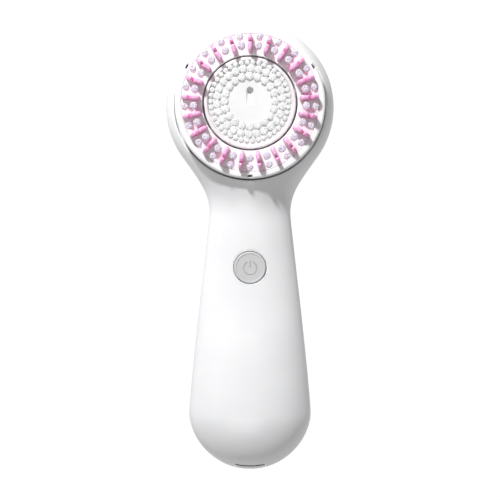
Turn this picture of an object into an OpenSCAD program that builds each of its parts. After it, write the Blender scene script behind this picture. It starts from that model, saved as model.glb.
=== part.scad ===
// Facial cleansing brush lying on its back: +Z out of the bristles, +Y towards the head.

/* [Body] */
// radius of the round head, widest at the parting plane
head_r = 30.8; // [30:0.1:31.4]
// distance from the middle of the length to the head's axis
head_y = 51; // [50.5:0.1:51.5]
// height of the parting plane above the table
part_z = 15; // [14.8:0.1:15.2]
// half width at the neck
neck_w = 14.85; // [14.4:0.05:15.2]
// half width at the fullest part of the handle
bulb_w = 22.4; // [22:0.1:23]
// y of the fullest part of the handle
bulb_y = -61.5; // [-62:0.1:-61]
// y of the charging end
end_y = -82.1; // [-82.6:0.1:-81.8]
// wall thickness of both housings
wall = 2; // [1.8:0.1:2.2]
// radius over which head and neck melt together
blend_r = 12; // [11:0.5:13]

/* [Brush head] */
// radius of the pocket the brush head sits in
pocket_r = 27.4; // [27.3:0.1:27.6]
// outer radius of the fixed brush ring
ring_r = 26.9; // [26.7:0.1:27]
// height of the fixed ring's front edge
ring_top = 31; // [30.8:0.1:31.3]
// height of the bristle tips
tip_z = 35.4; // [35:0.1:36]
// radius of the moving inner brush
inner_r = 16.4; // [16.2:0.1:16.5]
// number of pink tuft rows, with pearl rows between them
spokes = 21; // [15:1:21]

/* [Button] */
// radius of the power button
button_r = 5.8; // [5.6:0.1:5.9]
// y of the power button's centre
button_y = -7.75; // [-8:0.05:-7.5]
// inward travel of the power button
button_travel = 0.4; // [0.3:0.05:0.4]

/* [Hidden] */
$fn = 64;
gap = 0.1;
deck_z = 23.5;
deck_t = 2;
sec_n = 2.2;
head_n = 3;
back_n = 2.4;
head_top = 16.5;
head_back = 15.4;
stations = 46;
fan = 18;
top_y = head_y + head_r;
ring_in = 24.6;
base_top = 30.8;
plate_top = 29.9;
stack_z = 14;
cell_y = -41;
cell_z = 14.5;
cell_r = 7.1;
cell_len = 50;
board_z = 14;
switch_top = 18.4;
cap_top = 24.1;
port_w = 11.1;
port_h = 12;
port_z = 15.5;

// Outline controls: [y, half size], joined by a smooth cubic.
WIDTHS = [[bulb_y, bulb_w], [-56, bulb_w - 0.3], [-40, 20.6], [-20, 18.45], [0, 16.15],
    [13.4, neck_w], [30, 14.6], [60, 14.6]];
TOPS = [[bulb_y, 15], [-40, 13], [-22, 10], [-8, 8.9], [4, 8.9], [30, 9.2], [60, 9.2]];
BACKS = [[bulb_y, 15.4], [-42, 14.9], [-20, 12.8], [0, 11.6], [13.4, 11.3], [30, 12], [60, 12]];

function seg(y, c, i = 0) = (i >= len(c) - 2 || y < c[i + 1][0]) ? i : seg(y, c, i + 1);
function slope(c, k) =
    (k == 0 || k == len(c) - 1) ? 0 : (c[k + 1][1] - c[k - 1][1]) / (c[k + 1][0] - c[k - 1][0]);
function curve(y, c) =
    y <= c[0][0] ? c[0][1] : y >= c[len(c) - 1][0] ? c[len(c) - 1][1] : let (
        i = seg(y, c),
        h = c[i + 1][0] - c[i][0],
        t = (y - c[i][0]) / h,
        a = slope(c, i) * h,
        b = slope(c, i + 1) * h
    ) (2 * t ^ 3 - 3 * t ^ 2 + 1) * c[i][1] + (t ^ 3 - 2 * t ^ 2 + t) * a
    + (3 * t ^ 2 - 2 * t ^ 3) * c[i + 1][1] + (t ^ 3 - t ^ 2) * b;
// The handle closes at the charging end and fades away inside the head.
function fade(y) =
    y < bulb_y ? sqrt(max(1 - min((bulb_y - y) / (bulb_y - end_y), 1) ^ 1.8, 0.000001))
    : y > 22 ? sqrt(max(1 - min((y - 22) / 26, 1) ^ 2, 0.000001)) : 1;
// Distance of a point at (a, b) from a rounded section of half sizes (ra, rb).
function from_section(a, b, ra, rb, n) = let (
    g = (abs(a / ra) ^ n + abs(b / rb) ^ n + 0.000000001) ^ (1 / n)
) norm([a, b]) * (1 - 1 / g);
function melt(a, b, k) = min(a, b) - max(k - abs(a - b), 0) ^ 2 / k / 4;
// Distance from the outer skin; b is the height above the parting plane.
function skin(x, y, b) = let (
    f = fade(y),
    stem = from_section(x, b, curve(y, WIDTHS) * f, curve(y, b > 0 ? TOPS : BACKS) * f, sec_n),
    cup = from_section(norm([x, y - head_y]), b, head_r, b > 0 ? head_top : head_back,
        b > 0 ? head_n : back_n)
) melt(stem, cup, blend_r);
// Radius at which the ray at angle t in the section at y meets the skin, d inside it.
function reach(y, t, d, lo = 0, hi = 34, n = 15) = n == 0 ? (lo + hi) / 2 : let (
    m = (lo + hi) / 2
) skin(m * cos(t), y, m * sin(t)) < -d ? reach(y, t, d, m, hi, n - 1) : reach(y, t, d, lo, m, n - 1);
function station(i, d) =
    (end_y + top_y) / 2 - (top_y - end_y - 2 * d) / 2 * cos(180 * i / stations);
// Point j of section i of one half of the body: side is 1 in front and -1 behind.
function shell_pt(i, j, d, side) = let (
    y = station(i, d),
    t = side * 180 * j / fan,
    r = (i == 0 || i == stations) ? 0 : reach(y, t, d),
    b = r * sin(t),
    roof = (d > 0 && y > 17) ? deck_z - deck_t - part_z - gap : 99
) [r * cos(t), y, part_z + side * gap + max(min(b, roof), gap - part_z + d)];
function quads(o, flip) = [for (i = [0:stations - 1], j = [0:fan - 1]) let (
    a = o + i * (fan + 1) + j,
    b = a + fan + 1,
    near = flip ? [a, b + 1, b] : [a, b, b + 1],
    far = flip ? [a, a + 1, b + 1] : [a, b + 1, a + 1]
) each i == 0 ? [near] : i == stations - 1 ? [far] : [near, far]];

// One half of the housing: an outer skin, an inner skin and the flat rim that joins them.
module shell(side) {
    n = (stations + 1) * (fan + 1);
    pts = [for (d = [0, wall], i = [0:stations], j = [0:fan]) shell_pt(i, j, d, side)];
    rim = [for (i = [0:stations - 1], e = [0, fan]) let (
        a = i * (fan + 1) + e,
        b = a + fan + 1,
        f = (side > 0) == (e > 0)
    ) each f ? [[a, a + n, b], [b, a + n, b + n]] : [[a, b, a + n], [b, b + n, a + n]]];
    polyhedron(points = pts,
        faces = concat(quads(0, side > 0), quads(n, side < 0), rim), convexity = 8);
}

module rim_outline(d) {
    right = [for (i = [0:stations]) let (y = station(i, d))
        [(i == 0 || i == stations) ? 0 : reach(y, 0, d), y]];
    left = [for (i = [stations - 1:-1:1]) [-right[i][0], right[i][1]]];
    polygon(concat(right, left));
}

module at_head(z) {
    translate([0, head_y, z]) children();
}

module ring(r0, r1, h) {
    linear_extrude(h) difference() {
        circle(r1);
        circle(r0);
    }
}

module around(n, r, first = 0) {
    for (k = [0:n - 1]) rotate(first + 360 / n * k) translate([r, 0, 0]) children();
}

module port_block(grow, y0, y1) {
    w = port_w + 2 * grow;
    h = port_h + 2 * grow;
    r = 1.8 + grow;
    translate([0, y1, port_z]) rotate([90, 0, 0]) linear_extrude(y1 - y0) {
        square([w - 2 * r, h], center = true);
        square([w, h - 2 * r], center = true);
        for (x = [-1, 1], z = [-1, 1]) translate([x * (w / 2 - r), z * (h / 2 - r)]) circle(r);
    }
}

module screw(head_r, head_h, shaft_r, shaft_h) {
    difference() {
        cylinder(r = head_r, h = head_h);
        translate([-head_r * 0.6, -0.2, head_h - 0.4]) cube([head_r * 1.2, 0.4, 1]);
        translate([-0.2, -head_r * 0.6, head_h - 0.4]) cube([0.4, head_r * 1.2, 1]);
    }
    translate([0, 0, -shaft_h]) cylinder(r = shaft_r, h = shaft_h + 0.01);
}

module front_housing() {
    color([0.94, 0.94, 0.95]) difference() {
        union() {
            shell(1);
            translate([0, button_y, 21]) ring(button_r + 0.5, button_r + 1.7, 1.4);
        }
        at_head(deck_z) cylinder(r = pocket_r, h = 20);
        at_head(10) cylinder(r = 9, h = 20);
        at_head(deck_z - 1.6) around(3, 22.3, 90) cylinder(r = 0.95, h = 5);
        at_head(deck_z - deck_t - 1) around(4, 15, 45) cylinder(r = 1, h = 2.5);
        translate([0, button_y, 10]) cylinder(r = button_r + 0.5, h = 30);
        port_block(0.5, end_y - 5, -78);
    }
}

module rear_housing() {
    color([0.93, 0.93, 0.94]) difference() {
        union() {
            shell(-1);
            at_head(1) cylinder(r = 5, h = 6.2);
            for (x = [-7.5, 7.5]) {
                translate([x, -11.5, 5]) cylinder(r = 2, h = board_z - 5.05);
                translate([x, 7.5, 5.8]) cylinder(r = 2, h = board_z - 5.85);
            }
            for (x = [-8.8, 8.8]) translate([x, 15.25, 6.4]) cylinder(r = 2, h = 4);
        }
        at_head(3.6) cylinder(r = 3.02, h = 6);
        for (x = [-7.5, 7.5], y = [-11.5, 7.5]) translate([x, y, 9]) cylinder(r = 0.85, h = 9);
        for (x = [-8.8, 8.8]) translate([x, 15.25, 7.6]) cylinder(r = 1, h = 9);
        port_block(0.5, end_y - 5, -78);
    }
}

module housing_gasket() {
    color([0.72, 0.72, 0.74]) translate([0, 0, part_z - gap]) linear_extrude(2 * gap) difference() {
        rim_outline(0.3);
        rim_outline(wall - 0.3);
        translate([-port_w / 2 - 0.5, end_y - 5]) square([port_w + 1, 10]);
    }
}

module power_button() {
    color([0.83, 0.83, 0.84]) translate([0, button_y, 0]) {
        rotate_extrude() {
            translate([0, 20]) square([button_r + 1, 0.8]);
            translate([0, 20]) square([button_r - 1, cap_top - 20]);
            translate([0, 20]) square([button_r, cap_top - 21]);
            translate([button_r - 1, cap_top - 1]) intersection() {
                circle(1);
                square(2);
            }
        }
        translate([0, 0, switch_top + 0.95]) cylinder(r = 1.6, h = 1);
    }
}

module power_symbol() {
    color([0.78, 0.78, 0.79]) translate([0, button_y, cap_top]) linear_extrude(0.15) {
        difference() {
            circle(2.5);
            circle(1.95);
            translate([-0.95, 0]) square([1.9, 4]);
        }
        translate([-0.3, -0.4]) square([0.6, 3.3]);
    }
}

module button_seal() {
    color([0.55, 0.55, 0.57]) translate([0, button_y, 21.3]) ring(button_r + 0.07, button_r + 0.46, 1);
}

module tact_switch() {
    color([0.15, 0.15, 0.16]) translate([0, button_y, board_z + 1.2]) difference() {
        translate([-3, -3, 0.02]) cube([6, 6, switch_top - board_z - 1.22]);
        translate([0, 0, switch_top - board_z - 2.2 - button_travel]) cylinder(r = 1.65, h = 5);
    }
}

module switch_plunger() {
    color([0.85, 0.82, 0.75]) translate([0, button_y, switch_top - 0.8]) cylinder(r = 1.58, h = 1.7);
}

module circuit_board() {
    color([0.1, 0.4, 0.25]) difference() {
        translate([-9.5, -14, board_z]) cube([19, 24, 1.2]);
        for (x = [-7.5, 7.5], y = [-11.5, 7.5]) translate([x, y, 9]) cylinder(r = 1, h = 9);
    }
}

module board_screws() {
    color([0.75, 0.75, 0.77]) for (x = [-7.5, 7.5], y = [-11.5, 7.5])
        translate([x, y, board_z + 1.22]) screw(1.7, 1, 0.8, 4.5);
}

module control_chips() {
    color([0.1, 0.1, 0.11]) translate([0, 0, board_z + 1.22]) {
        translate([-2.5, 0, 0]) cube([5, 5, 1]);
        translate([-7.5, -4, 0]) cube([3, 4, 0.9]);
        translate([4.6, -5, 0]) cube([3, 5, 0.9]);
        translate([5.2, 2.6, 0]) cylinder(r = 1.4, h = 2);
    }
}

module battery_cell() {
    color([0.35, 0.5, 0.65]) translate([0, cell_y + cell_len / 2, cell_z]) rotate([90, 0, 0]) {
        cylinder(r = cell_r, h = cell_len);
        translate([0, 0, -0.6]) cylinder(r = 2.6, h = 1);
    }
}

module battery_cradle() {
    color([0.3, 0.3, 0.32]) {
        translate([0, -22, cell_z]) rotate([90, 0, 0]) linear_extrude(38) difference() {
            circle(cell_r + 1.3);
            circle(cell_r + 0.1);
            translate([-10, 1]) square(20);
        }
        translate([-4, -32, 3.2]) cube([8, 4, 4]);
        translate([-4, -58, 2.3]) cube([8, 4, 4.6]);
    }
}

module battery_tabs() {
    color([0.8, 0.8, 0.8]) {
        translate([-1.5, -15.38, cell_z - 2]) cube([3, 0.25, 3.05]);
        translate([-1.5, -15.38, board_z + 1.22]) cube([3, 3.2, 0.25]);
        translate([-1.5, -66.3, cell_z - 4]) cube([3, 0.25, 8]);
    }
}

module charging_socket() {
    color([0.2, 0.2, 0.21]) difference() {
        translate([-4.6, -78.2, port_z - 3.4]) cube([9.2, 8, 6.8]);
        translate([-3.9, -78.3, port_z - 1.3]) cube([7.8, 6.4, 2.6]);
    }
    color([0.85, 0.7, 0.3]) translate([-3, -76.5, port_z - 0.9]) cube([6, 5, 0.5]);
}

module port_cover() {
    color([0.9, 0.9, 0.91]) intersection() {
        port_block(0, end_y - 5, -78.4);
        end_cap();
    }
    color([0.9, 0.9, 0.91]) translate([-3.8, -78.5, port_z - 0.3]) cube([7.6, 1.6, 1.5]);
}

// The last few sections of the outer skin, closed by a flat face.
module end_cap() {
    k = 9;
    m = 4 * fan;
    ring_pts = [for (i = [1:k], j = [0:m - 1]) let (
        y = station(i, 0),
        t = 360 * j / m,
        r = reach(y, t, 0)
    ) [r * cos(t), y, part_z + r * sin(t)]];
    sides = [for (i = [0:k - 2], j = [0:m - 1]) let (
        a = 1 + i * m + j,
        b = 1 + i * m + (j + 1) % m
    ) each [[a, b, b + m], [a, b + m, a + m]]];
    tip = [for (j = [0:m - 1]) [0, 1 + (j + 1) % m, 1 + j]];
    back = [[for (j = [0:m - 1]) 1 + (k - 1) * m + j]];
    polyhedron(points = concat([[0, end_y, part_z]], ring_pts),
        faces = concat(tip, sides, back), convexity = 4);
}

module stator_core() {
    color([0.6, 0.6, 0.62]) translate([0, 0, stack_z - 3.5]) linear_extrude(7) difference() {
        union() {
            translate([-11, 13.5]) square([22, 3.5]);
            for (x = [-11, -2.5, 7.5]) translate([x, 16]) square([x == -2.5 ? 5 : 3.5, 20]);
        }
        translate([0, head_y]) circle(20.3);
        for (x = [-8.8, 8.8]) translate([x, 15.25]) circle(1.1);
    }
}

module coil_layer(x, z, y0, y1) {
    translate([-x, y0, stack_z - z]) cube([2 * x, y1 - y0, 2 * z]);
}

module stator_bobbin() {
    color([0.9, 0.88, 0.8]) difference() {
        union() {
            coil_layer(3.2, 4.2, 17.2, 29.4);
            coil_layer(6.6, 6.8, 17.2, 18);
            coil_layer(6.6, 6.8, 28.6, 29.4);
        }
        coil_layer(2.55, 3.55, 10, 35);
    }
}

module drive_coil() {
    color([0.72, 0.42, 0.2]) difference() {
        coil_layer(6.1, 6.3, 18.05, 28.55);
        coil_layer(3.22, 4.22, 10, 35);
    }
}

module stator_screws() {
    color([0.75, 0.75, 0.77]) for (x = [-8.8, 8.8])
        translate([x, 15.25, stack_z + 3.52]) screw(1.8, 1.1, 0.95, 9);
}

module arc(r0, r1, a0, a1, h) {
    linear_extrude(h) polygon(concat(
        [for (k = [0:12]) let (a = a0 + (a1 - a0) * k / 12) r1 * [cos(a), sin(a)]],
        [for (k = [12:-1:0]) let (a = a0 + (a1 - a0) * k / 12) r0 * [cos(a), sin(a)]]));
}

module armature() {
    color([0.5, 0.5, 0.53]) at_head(stack_z - 4) difference() {
        union() {
            cylinder(r = 5.5, h = 7.8);
            translate([-4, -16.2, 0.4]) cube([8, 15, 7]);
            translate([0, 0, 0.4]) arc(15.4, 17.4, 240, 300, 7);
        }
        translate([0, 0, -1]) cylinder(r = 1.52, h = 12);
    }
}

module armature_magnets() {
    color([0.7, 0.7, 0.75]) at_head(stack_z - 3.5) for (a = [244, 272])
        arc(17.45, 19.5, a, a + 24, 6.8);
}

module drive_spindle() {
    color([0.8, 0.8, 0.82]) at_head(4.2) cylinder(r = 1.5, h = 20.2);
}

module rear_bearing() {
    color([0.7, 0.55, 0.25]) at_head(3.7) ring(1.53, 3, 3.4);
}

module front_bearing() {
    color([0.7, 0.55, 0.25]) at_head(19.2) ring(1.53, 3.2, 2.2);
}

module drive_bracket() {
    color([0.62, 0.62, 0.65]) at_head(19.9) linear_extrude(1.55) difference() {
        circle(18.5);
        circle(3.22);
        for (a = [45:90:315]) rotate(a) translate([15, 0]) circle(1.05);
        for (a = [0:90:270]) rotate(a) translate([9, 0]) circle(3);
    }
}

module bracket_screws() {
    color([0.75, 0.75, 0.77]) at_head(19.85) around(4, 15, 45) rotate([180, 0, 0])
        screw(1.8, 1.2, 0.95, 2.9);
}

module hub_teeth(grow) {
    circle(4.5 + grow);
    for (a = [90, 210, 330]) rotate(a) translate([0, -1.3 - grow]) square([7.2 + grow, 2.6 + 2 * grow]);
}

module drive_hub() {
    color([0.8, 0.8, 0.82]) at_head(0) difference() {
        union() {
            translate([0, 0, 21.6]) cylinder(r = 7.5, h = 3.6);
            translate([0, 0, 25]) linear_extrude(2) hub_teeth(0);
        }
        translate([0, 0, 20]) cylinder(r = 1.52, h = 4.5);
    }
}

module drive_seal() {
    color([0.4, 0.4, 0.42]) at_head(deck_z + 0.02) ring(7.57, 11.5, 0.6);
}

module mount_collar() {
    color([0.82, 0.82, 0.84]) at_head(deck_z + 0.02) difference() {
        ring(20.4, 24.2, 1.9);
        for (a = [30, 150, 270]) translate([0, 0, 0.2]) arc(21, 23.8, a - 7, a + 7, 5);
        around(3, 22.3, 90) cylinder(r = 1, h = 5, center = true);
        translate([0, 0, 0.9]) around(3, 22.3, 90) cylinder(r = 1.65, h = 5);
    }
}

module collar_screws() {
    color([0.75, 0.75, 0.77]) at_head(deck_z + 0.95) around(3, 22.3, 90) screw(1.6, 0.9, 0.9, 2.4);
}

module mount_seal() {
    color([0.4, 0.4, 0.42]) at_head(deck_z + 0.02) ring(25, 26.8, 1);
}

module outer_ring() {
    color([0.96, 0.96, 0.97]) at_head(0) difference() {
        rotate_extrude() {
            translate([20.3, 25.6]) square([4.4, 0.75]);
            translate([ring_in, 24.6]) square([ring_r - ring_in, ring_top - 25.6]);
            translate([ring_in + 0.4, 24.6]) square([ring_r - ring_in - 1.4, ring_top - 24.6]);
            translate([ring_in + 0.4, ring_top - 1]) circle(0.4);
            translate([ring_in + 0.4, ring_top - 0.4]) circle(0.4);
            translate([ring_in, ring_top - 1.2]) square([0.5, 0.8]);
            translate([ring_r - 1, ring_top - 1]) circle(1);
        }
        for (a = [30, 150, 270]) rotate(a) translate([25.7, -0.8, ring_top - 1.5]) cube([0.6, 1.6, 3]);
    }
}

// Footprints of the outer tufts: two pink bars on a spoke, then two pearl rounds on the next.
module pink_prints(grow) {
    for (k = [0:spokes - 1]) rotate(90 + 360 / spokes * k) {
        translate([17.5 - grow, -0.7 - grow]) square([3.3 + 2 * grow, 1.4 + 2 * grow]);
        translate([21.1 - grow, -0.7 - grow]) square([3.3 + 2 * grow, 1.4 + 2 * grow]);
    }
}

module pearl_prints(grow) {
    for (k = [0:spokes - 1]) rotate(90 + 360 / spokes * (k + 0.5)) {
        translate([20, 0]) circle(1.3 + grow);
        translate([23.2, 0]) circle(1.15 + grow);
    }
}

module outer_bristle_base() {
    color([0.93, 0.9, 0.92]) at_head(0) {
        translate([0, 0, 26.4]) ring(17, ring_in - 0.05, 1.3);
        translate([0, 0, 27.7]) linear_extrude(base_top - 27.7) difference() {
            circle(ring_in - 0.05);
            circle(17);
            pink_prints(0.03);
            pearl_prints(0.03);
        }
    }
}

module pink_tufts() {
    color([0.94, 0.63, 0.82]) at_head(27.72) linear_extrude(tip_z - 27.72) pink_prints(0);
}

module pearl_tufts() {
    color([0.87, 0.84, 0.9]) at_head(27.72) linear_extrude(tip_z - 27.92) pearl_prints(0);
}

module locking_lugs() {
    color([0.9, 0.9, 0.91]) at_head(23.8) for (a = [30, 150, 270]) arc(21.2, 23.6, a - 6, a + 6, 1.78);
}

module inner_retaining_ring() {
    color([0.9, 0.9, 0.91]) at_head(0) rotate_extrude() {
        translate([17.2, 24.2]) square([3, 0.7]);
        translate([19.6, 24.3]) square([0.6, 2.08]);
    }
}

module inner_carrier() {
    color([0.9, 0.9, 0.91]) at_head(0) {
        translate([0, 0, 25.1]) ring(15.2, 17.9, 0.8);
        translate([0, 0, 25.1]) ring(15.2, 16.2, 2.18);
        translate([0, 0, 25.4]) linear_extrude(1.8) difference() {
            circle(9.5);
            hub_teeth(0.15);
        }
        translate([0, 0, 26.3]) linear_extrude(0.98) difference() {
            circle(15.4);
            circle(9.3);
            for (a = [0:60:300]) rotate(a) translate([12.4, 0]) circle(1.8);
        }
    }
}

module inner_prints(grow) {
    for (row = [[20, 8.9, 1.25, 0], [26, 11.65, 1.25, 5], [42, 13.85, 0.8, 0]])
        for (k = [0:row[0] - 1]) rotate(row[3] + 360 / row[0] * k)
            translate([row[1], 0]) circle(row[2] + grow);
}

module inner_bristle_plate() {
    color([0.97, 0.97, 0.97]) at_head(0) difference() {
        union() {
            translate([0, 0, 27.3]) cylinder(r = inner_r, h = 0.9);
            translate([0, 0, 28.2]) linear_extrude(plate_top - 28.2) difference() {
                circle(inner_r);
                inner_prints(0.03);
            }
            translate([0, 0, plate_top - 0.1]) ring(inner_r - 1.5, inner_r, 1);
        }
        translate([0, 4.6, 28.2]) cylinder(r = 1.15, h = 5);
        translate([-1.15, -0.8, 28.8]) cube([2.3, 5.4, 5]);
    }
}

module inner_tufts() {
    color([0.95, 0.95, 0.94]) at_head(28.22) linear_extrude(tip_z - 28.22) inner_prints(0);
}

front_housing();
rear_housing();
housing_gasket();
power_button();
power_symbol();
button_seal();
tact_switch();
switch_plunger();
circuit_board();
board_screws();
control_chips();
battery_cell();
battery_cradle();
battery_tabs();
charging_socket();
port_cover();
stator_core();
stator_bobbin();
drive_coil();
stator_screws();
armature();
armature_magnets();
drive_spindle();
rear_bearing();
front_bearing();
drive_bracket();
bracket_screws();
drive_hub();
drive_seal();
mount_collar();
collar_screws();
mount_seal();
outer_ring();
outer_bristle_base();
pink_tufts();
pearl_tufts();
locking_lugs();
inner_retaining_ring();
inner_carrier();
inner_bristle_plate();
inner_tufts();
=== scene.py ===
"""Looks of a cordless facial cleansing brush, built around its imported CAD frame.

The brush lies on its back: +Z points out of the bristles, +Y runs along the handle towards the head.
Shapes are worked out in millimetres and put into the meshes in metres.
"""

import enum
import logging
from dataclasses import dataclass, field
from typing import Any, Callable, Mapping, Sequence, Union

import bmesh
import bpy
import numpy as np
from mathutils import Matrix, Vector

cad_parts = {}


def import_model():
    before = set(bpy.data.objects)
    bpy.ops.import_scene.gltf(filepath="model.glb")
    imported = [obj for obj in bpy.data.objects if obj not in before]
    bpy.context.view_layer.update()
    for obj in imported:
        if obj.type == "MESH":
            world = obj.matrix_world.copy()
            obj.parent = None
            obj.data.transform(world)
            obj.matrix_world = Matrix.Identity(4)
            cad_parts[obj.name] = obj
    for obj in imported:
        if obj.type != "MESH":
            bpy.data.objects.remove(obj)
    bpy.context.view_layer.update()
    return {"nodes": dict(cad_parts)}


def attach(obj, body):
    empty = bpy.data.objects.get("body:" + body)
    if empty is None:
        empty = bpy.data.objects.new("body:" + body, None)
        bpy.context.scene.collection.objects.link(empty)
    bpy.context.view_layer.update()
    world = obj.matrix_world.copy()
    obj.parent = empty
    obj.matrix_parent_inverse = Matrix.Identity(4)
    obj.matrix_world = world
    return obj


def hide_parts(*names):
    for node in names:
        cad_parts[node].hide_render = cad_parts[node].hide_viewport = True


LOG = logging.getLogger("cleansing_brush")
MM = 0.001
PER_METRE = 1000.0
FULL_TURN = 6.2832
GOLDEN_ANGLE = 2.39996
HALVINGS = 24
Array = np.ndarray
Number = Union["Signal", float]
PortRing = tuple[float, Union[float, None], float]


# ---------------------------------------------------------------- shader graph


class Signal:
    """A number that changes over a surface, written as a Python expression."""

    def __init__(self, graph: "Graph", socket: bpy.types.NodeSocket) -> None:
        """Wraps one output socket.

        Args:
            graph: the graph that the socket's node is in.
            socket: the output that carries the number.
        """
        self.graph = graph
        self.socket = socket

    def _with(self, operation: str, *others: Number) -> "Signal":
        """Adds the Math node of one operation on this signal and the others."""
        node = self.graph.node("ShaderNodeMath", {"operation": operation}, dict(enumerate((self, *others))))
        return Signal(self.graph, node.outputs[0])

    def __add__(self, other: Number) -> "Signal":
        """This signal plus other."""
        return self._with("ADD", other)

    __radd__ = __add__

    def __mul__(self, other: Number) -> "Signal":
        """This signal times other."""
        return self._with("MULTIPLY", other)

    __rmul__ = __mul__

    def __sub__(self, other: Number) -> "Signal":
        """This signal less other."""
        return self._with("SUBTRACT", other)

    def __rsub__(self, other: Number) -> "Signal":
        """Other less this signal."""
        return self.graph.number(other)._with("SUBTRACT", self)

    def __truediv__(self, other: Number) -> "Signal":
        """This signal over other."""
        return self._with("DIVIDE", other)

    def wave(self) -> "Signal":
        """Sine of this signal."""
        return self._with("SINE")

    def within(self, low: float, high: float) -> "Signal":
        """Rises smoothly from 0 at low to 1 at high.

        Args:
            low: the value where the result leaves 0.
            high: the value where it reaches 1.

        Returns:
            The eased share.
        """
        node = self.graph.node(
            "ShaderNodeMapRange",
            {"interpolation_type": "SMOOTHSTEP"},
            {"Value": self, "From Min": low, "From Max": high},
        )
        return Signal(self.graph, node.outputs["Result"])


class Graph:
    """The node graph of one material."""

    def __init__(self, name: str) -> None:
        """Starts an empty material with an output and object coordinates.

        Args:
            name: the material's name.
        """
        self.material = bpy.data.materials.new(name)
        self.material.use_nodes = True
        self.tree = self.material.node_tree
        self.tree.nodes.clear()
        self.output = self.node("ShaderNodeOutputMaterial")
        self.place = self.node("ShaderNodeTexCoord").outputs["Object"]

    def node(
        self,
        kind: str,
        settings: Mapping[str, Any] | None = None,
        inputs: Mapping[Any, Any] | None = None,
    ) -> bpy.types.Node:
        """Adds any node.

        Args:
            kind: the node's type.
            settings: its own settings, set first; "stops" fills a ramp with (place, colour) pairs.
            inputs: values, sockets or signals by socket name or number.

        Returns:
            The node.
        """
        made = self.tree.nodes.new(kind)
        for key, value in (settings or {}).items():
            if key == "stops":
                self._fill_ramp(made.color_ramp, value)
            else:
                setattr(made, key, value)
        for key, value in (inputs or {}).items():
            if isinstance(value, Signal):
                value = value.socket
            if isinstance(value, bpy.types.NodeSocket):
                self.tree.links.new(value, made.inputs[key])
            else:
                made.inputs[key].default_value = value
        return made

    @staticmethod
    def _fill_ramp(ramp: bpy.types.ColorRamp, stops: Sequence[tuple[float, Sequence[float]]]) -> None:
        """Gives a ramp its stops, each a place from 0 to 1 and an RGB colour.

        Args:
            ramp: the ramp.
            stops: the stops in order.
        """
        while len(ramp.elements) < len(stops):
            ramp.elements.new(1.0)
        for element, (place, colour) in zip(ramp.elements, stops):
            element.position = place
            element.color = (*colour, 1.0)

    def number(self, value: Number) -> Signal:
        """A signal from a plain number, for expressions that start with one."""
        if isinstance(value, Signal):
            return value
        node = self.node("ShaderNodeMath", {"operation": "ADD"}, {0: value, 1: 0.0})
        return Signal(self, node.outputs[0])

    def noise(self, size_mm: float, detail: float = 3.0, stretch: Sequence[float] = (1, 1, 1)) -> Signal:
        """Smooth noise over the piece.

        Args:
            size_mm: size of one blotch.
            detail: how many finer layers are added.
            stretch: how much longer the blotches are along X, Y and Z.

        Returns:
            A signal around 0.5.
        """
        scale = [1.0 / s for s in stretch]
        placed = self.node("ShaderNodeMapping", {}, {"Vector": self.place, "Scale": scale})
        node = self.node(
            "ShaderNodeTexNoise",
            {},
            {"Vector": placed.outputs[0], "Scale": 1.0 / (size_mm * MM), "Detail": detail},
        )
        return Signal(self, node.outputs["Fac"])

    def cells(self, size_mm: float, feature: str = "F1") -> Signal:
        """Distance from the points of a cell pattern of the given size.

        Args:
            size_mm: mean size of a cell.
            feature: F1, or DISTANCE_TO_EDGE for the borders.

        Returns:
            The distance, as a signal.
        """
        node = self.node(
            "ShaderNodeTexVoronoi",
            {"feature": feature},
            {"Vector": self.place, "Scale": 1.0 / (size_mm * MM)},
        )
        return Signal(self, node.outputs["Distance"])

    def along(self, axis: str) -> Signal:
        """The place along X, Y or Z, in millimetres."""
        split = self.node("ShaderNodeSeparateXYZ", {}, {0: self.place})
        return Signal(self, split.outputs[axis]) * PER_METRE

    def mix(self, share: Number, low: Any, high: Any) -> bpy.types.NodeSocket:
        """A colour between low and high.

        Args:
            share: 0 gives low and 1 gives high.
            low: a colour or a colour socket.
            high: a colour or a colour socket.

        Returns:
            The colour socket.
        """
        ends = [(*c, 1.0) if isinstance(c, tuple) else c for c in (low, high)]
        node = self.node("ShaderNodeMix", {"data_type": "RGBA"}, {0: share, 6: ends[0], 7: ends[1]})
        return node.outputs[2]

    def bump(self, height: Signal, depth_mm: float, under: Any = None) -> bpy.types.NodeSocket:
        """A bump of the given depth.

        Args:
            height: the pattern, from 0 to 1.
            depth_mm: how deep it is.
            under: the normal of a bump that lies under this one.

        Returns:
            The normal socket.
        """
        inputs: dict[str, Any] = {"Height": height, "Distance": depth_mm * MM, "Strength": 1.0}
        if under is not None:
            inputs["Normal"] = under
        return self.node("ShaderNodeBump", {}, inputs).outputs["Normal"]

    def surface(self, **inputs: Any) -> bpy.types.Material:
        """Ends the graph in a Principled shader.

        Args:
            **inputs: its sockets, with spaces written as underscores.

        Returns:
            The finished material.
        """
        named = {key.replace("_", " "): value for key, value in inputs.items()}
        shader = self.node("ShaderNodeBsdfPrincipled", {}, named)
        self.tree.links.new(shader.outputs[0], self.output.inputs["Surface"])
        return self.material


# -------------------------------------------------------------------- finishes


@dataclass(frozen=True)
class Finish:
    """What every finish has: a name and a way to make its material once."""

    name: str

    def material(self) -> bpy.types.Material:
        """The finish's material, made on first use."""
        found = bpy.data.materials.get(self.name)
        return found or self.shade(Graph(self.name))

    def shade(self, graph: Graph) -> bpy.types.Material:
        """Fills an empty graph; each kind of finish has its own.

        Args:
            graph: an empty graph.

        Returns:
            The material.
        """
        raise NotImplementedError


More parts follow.
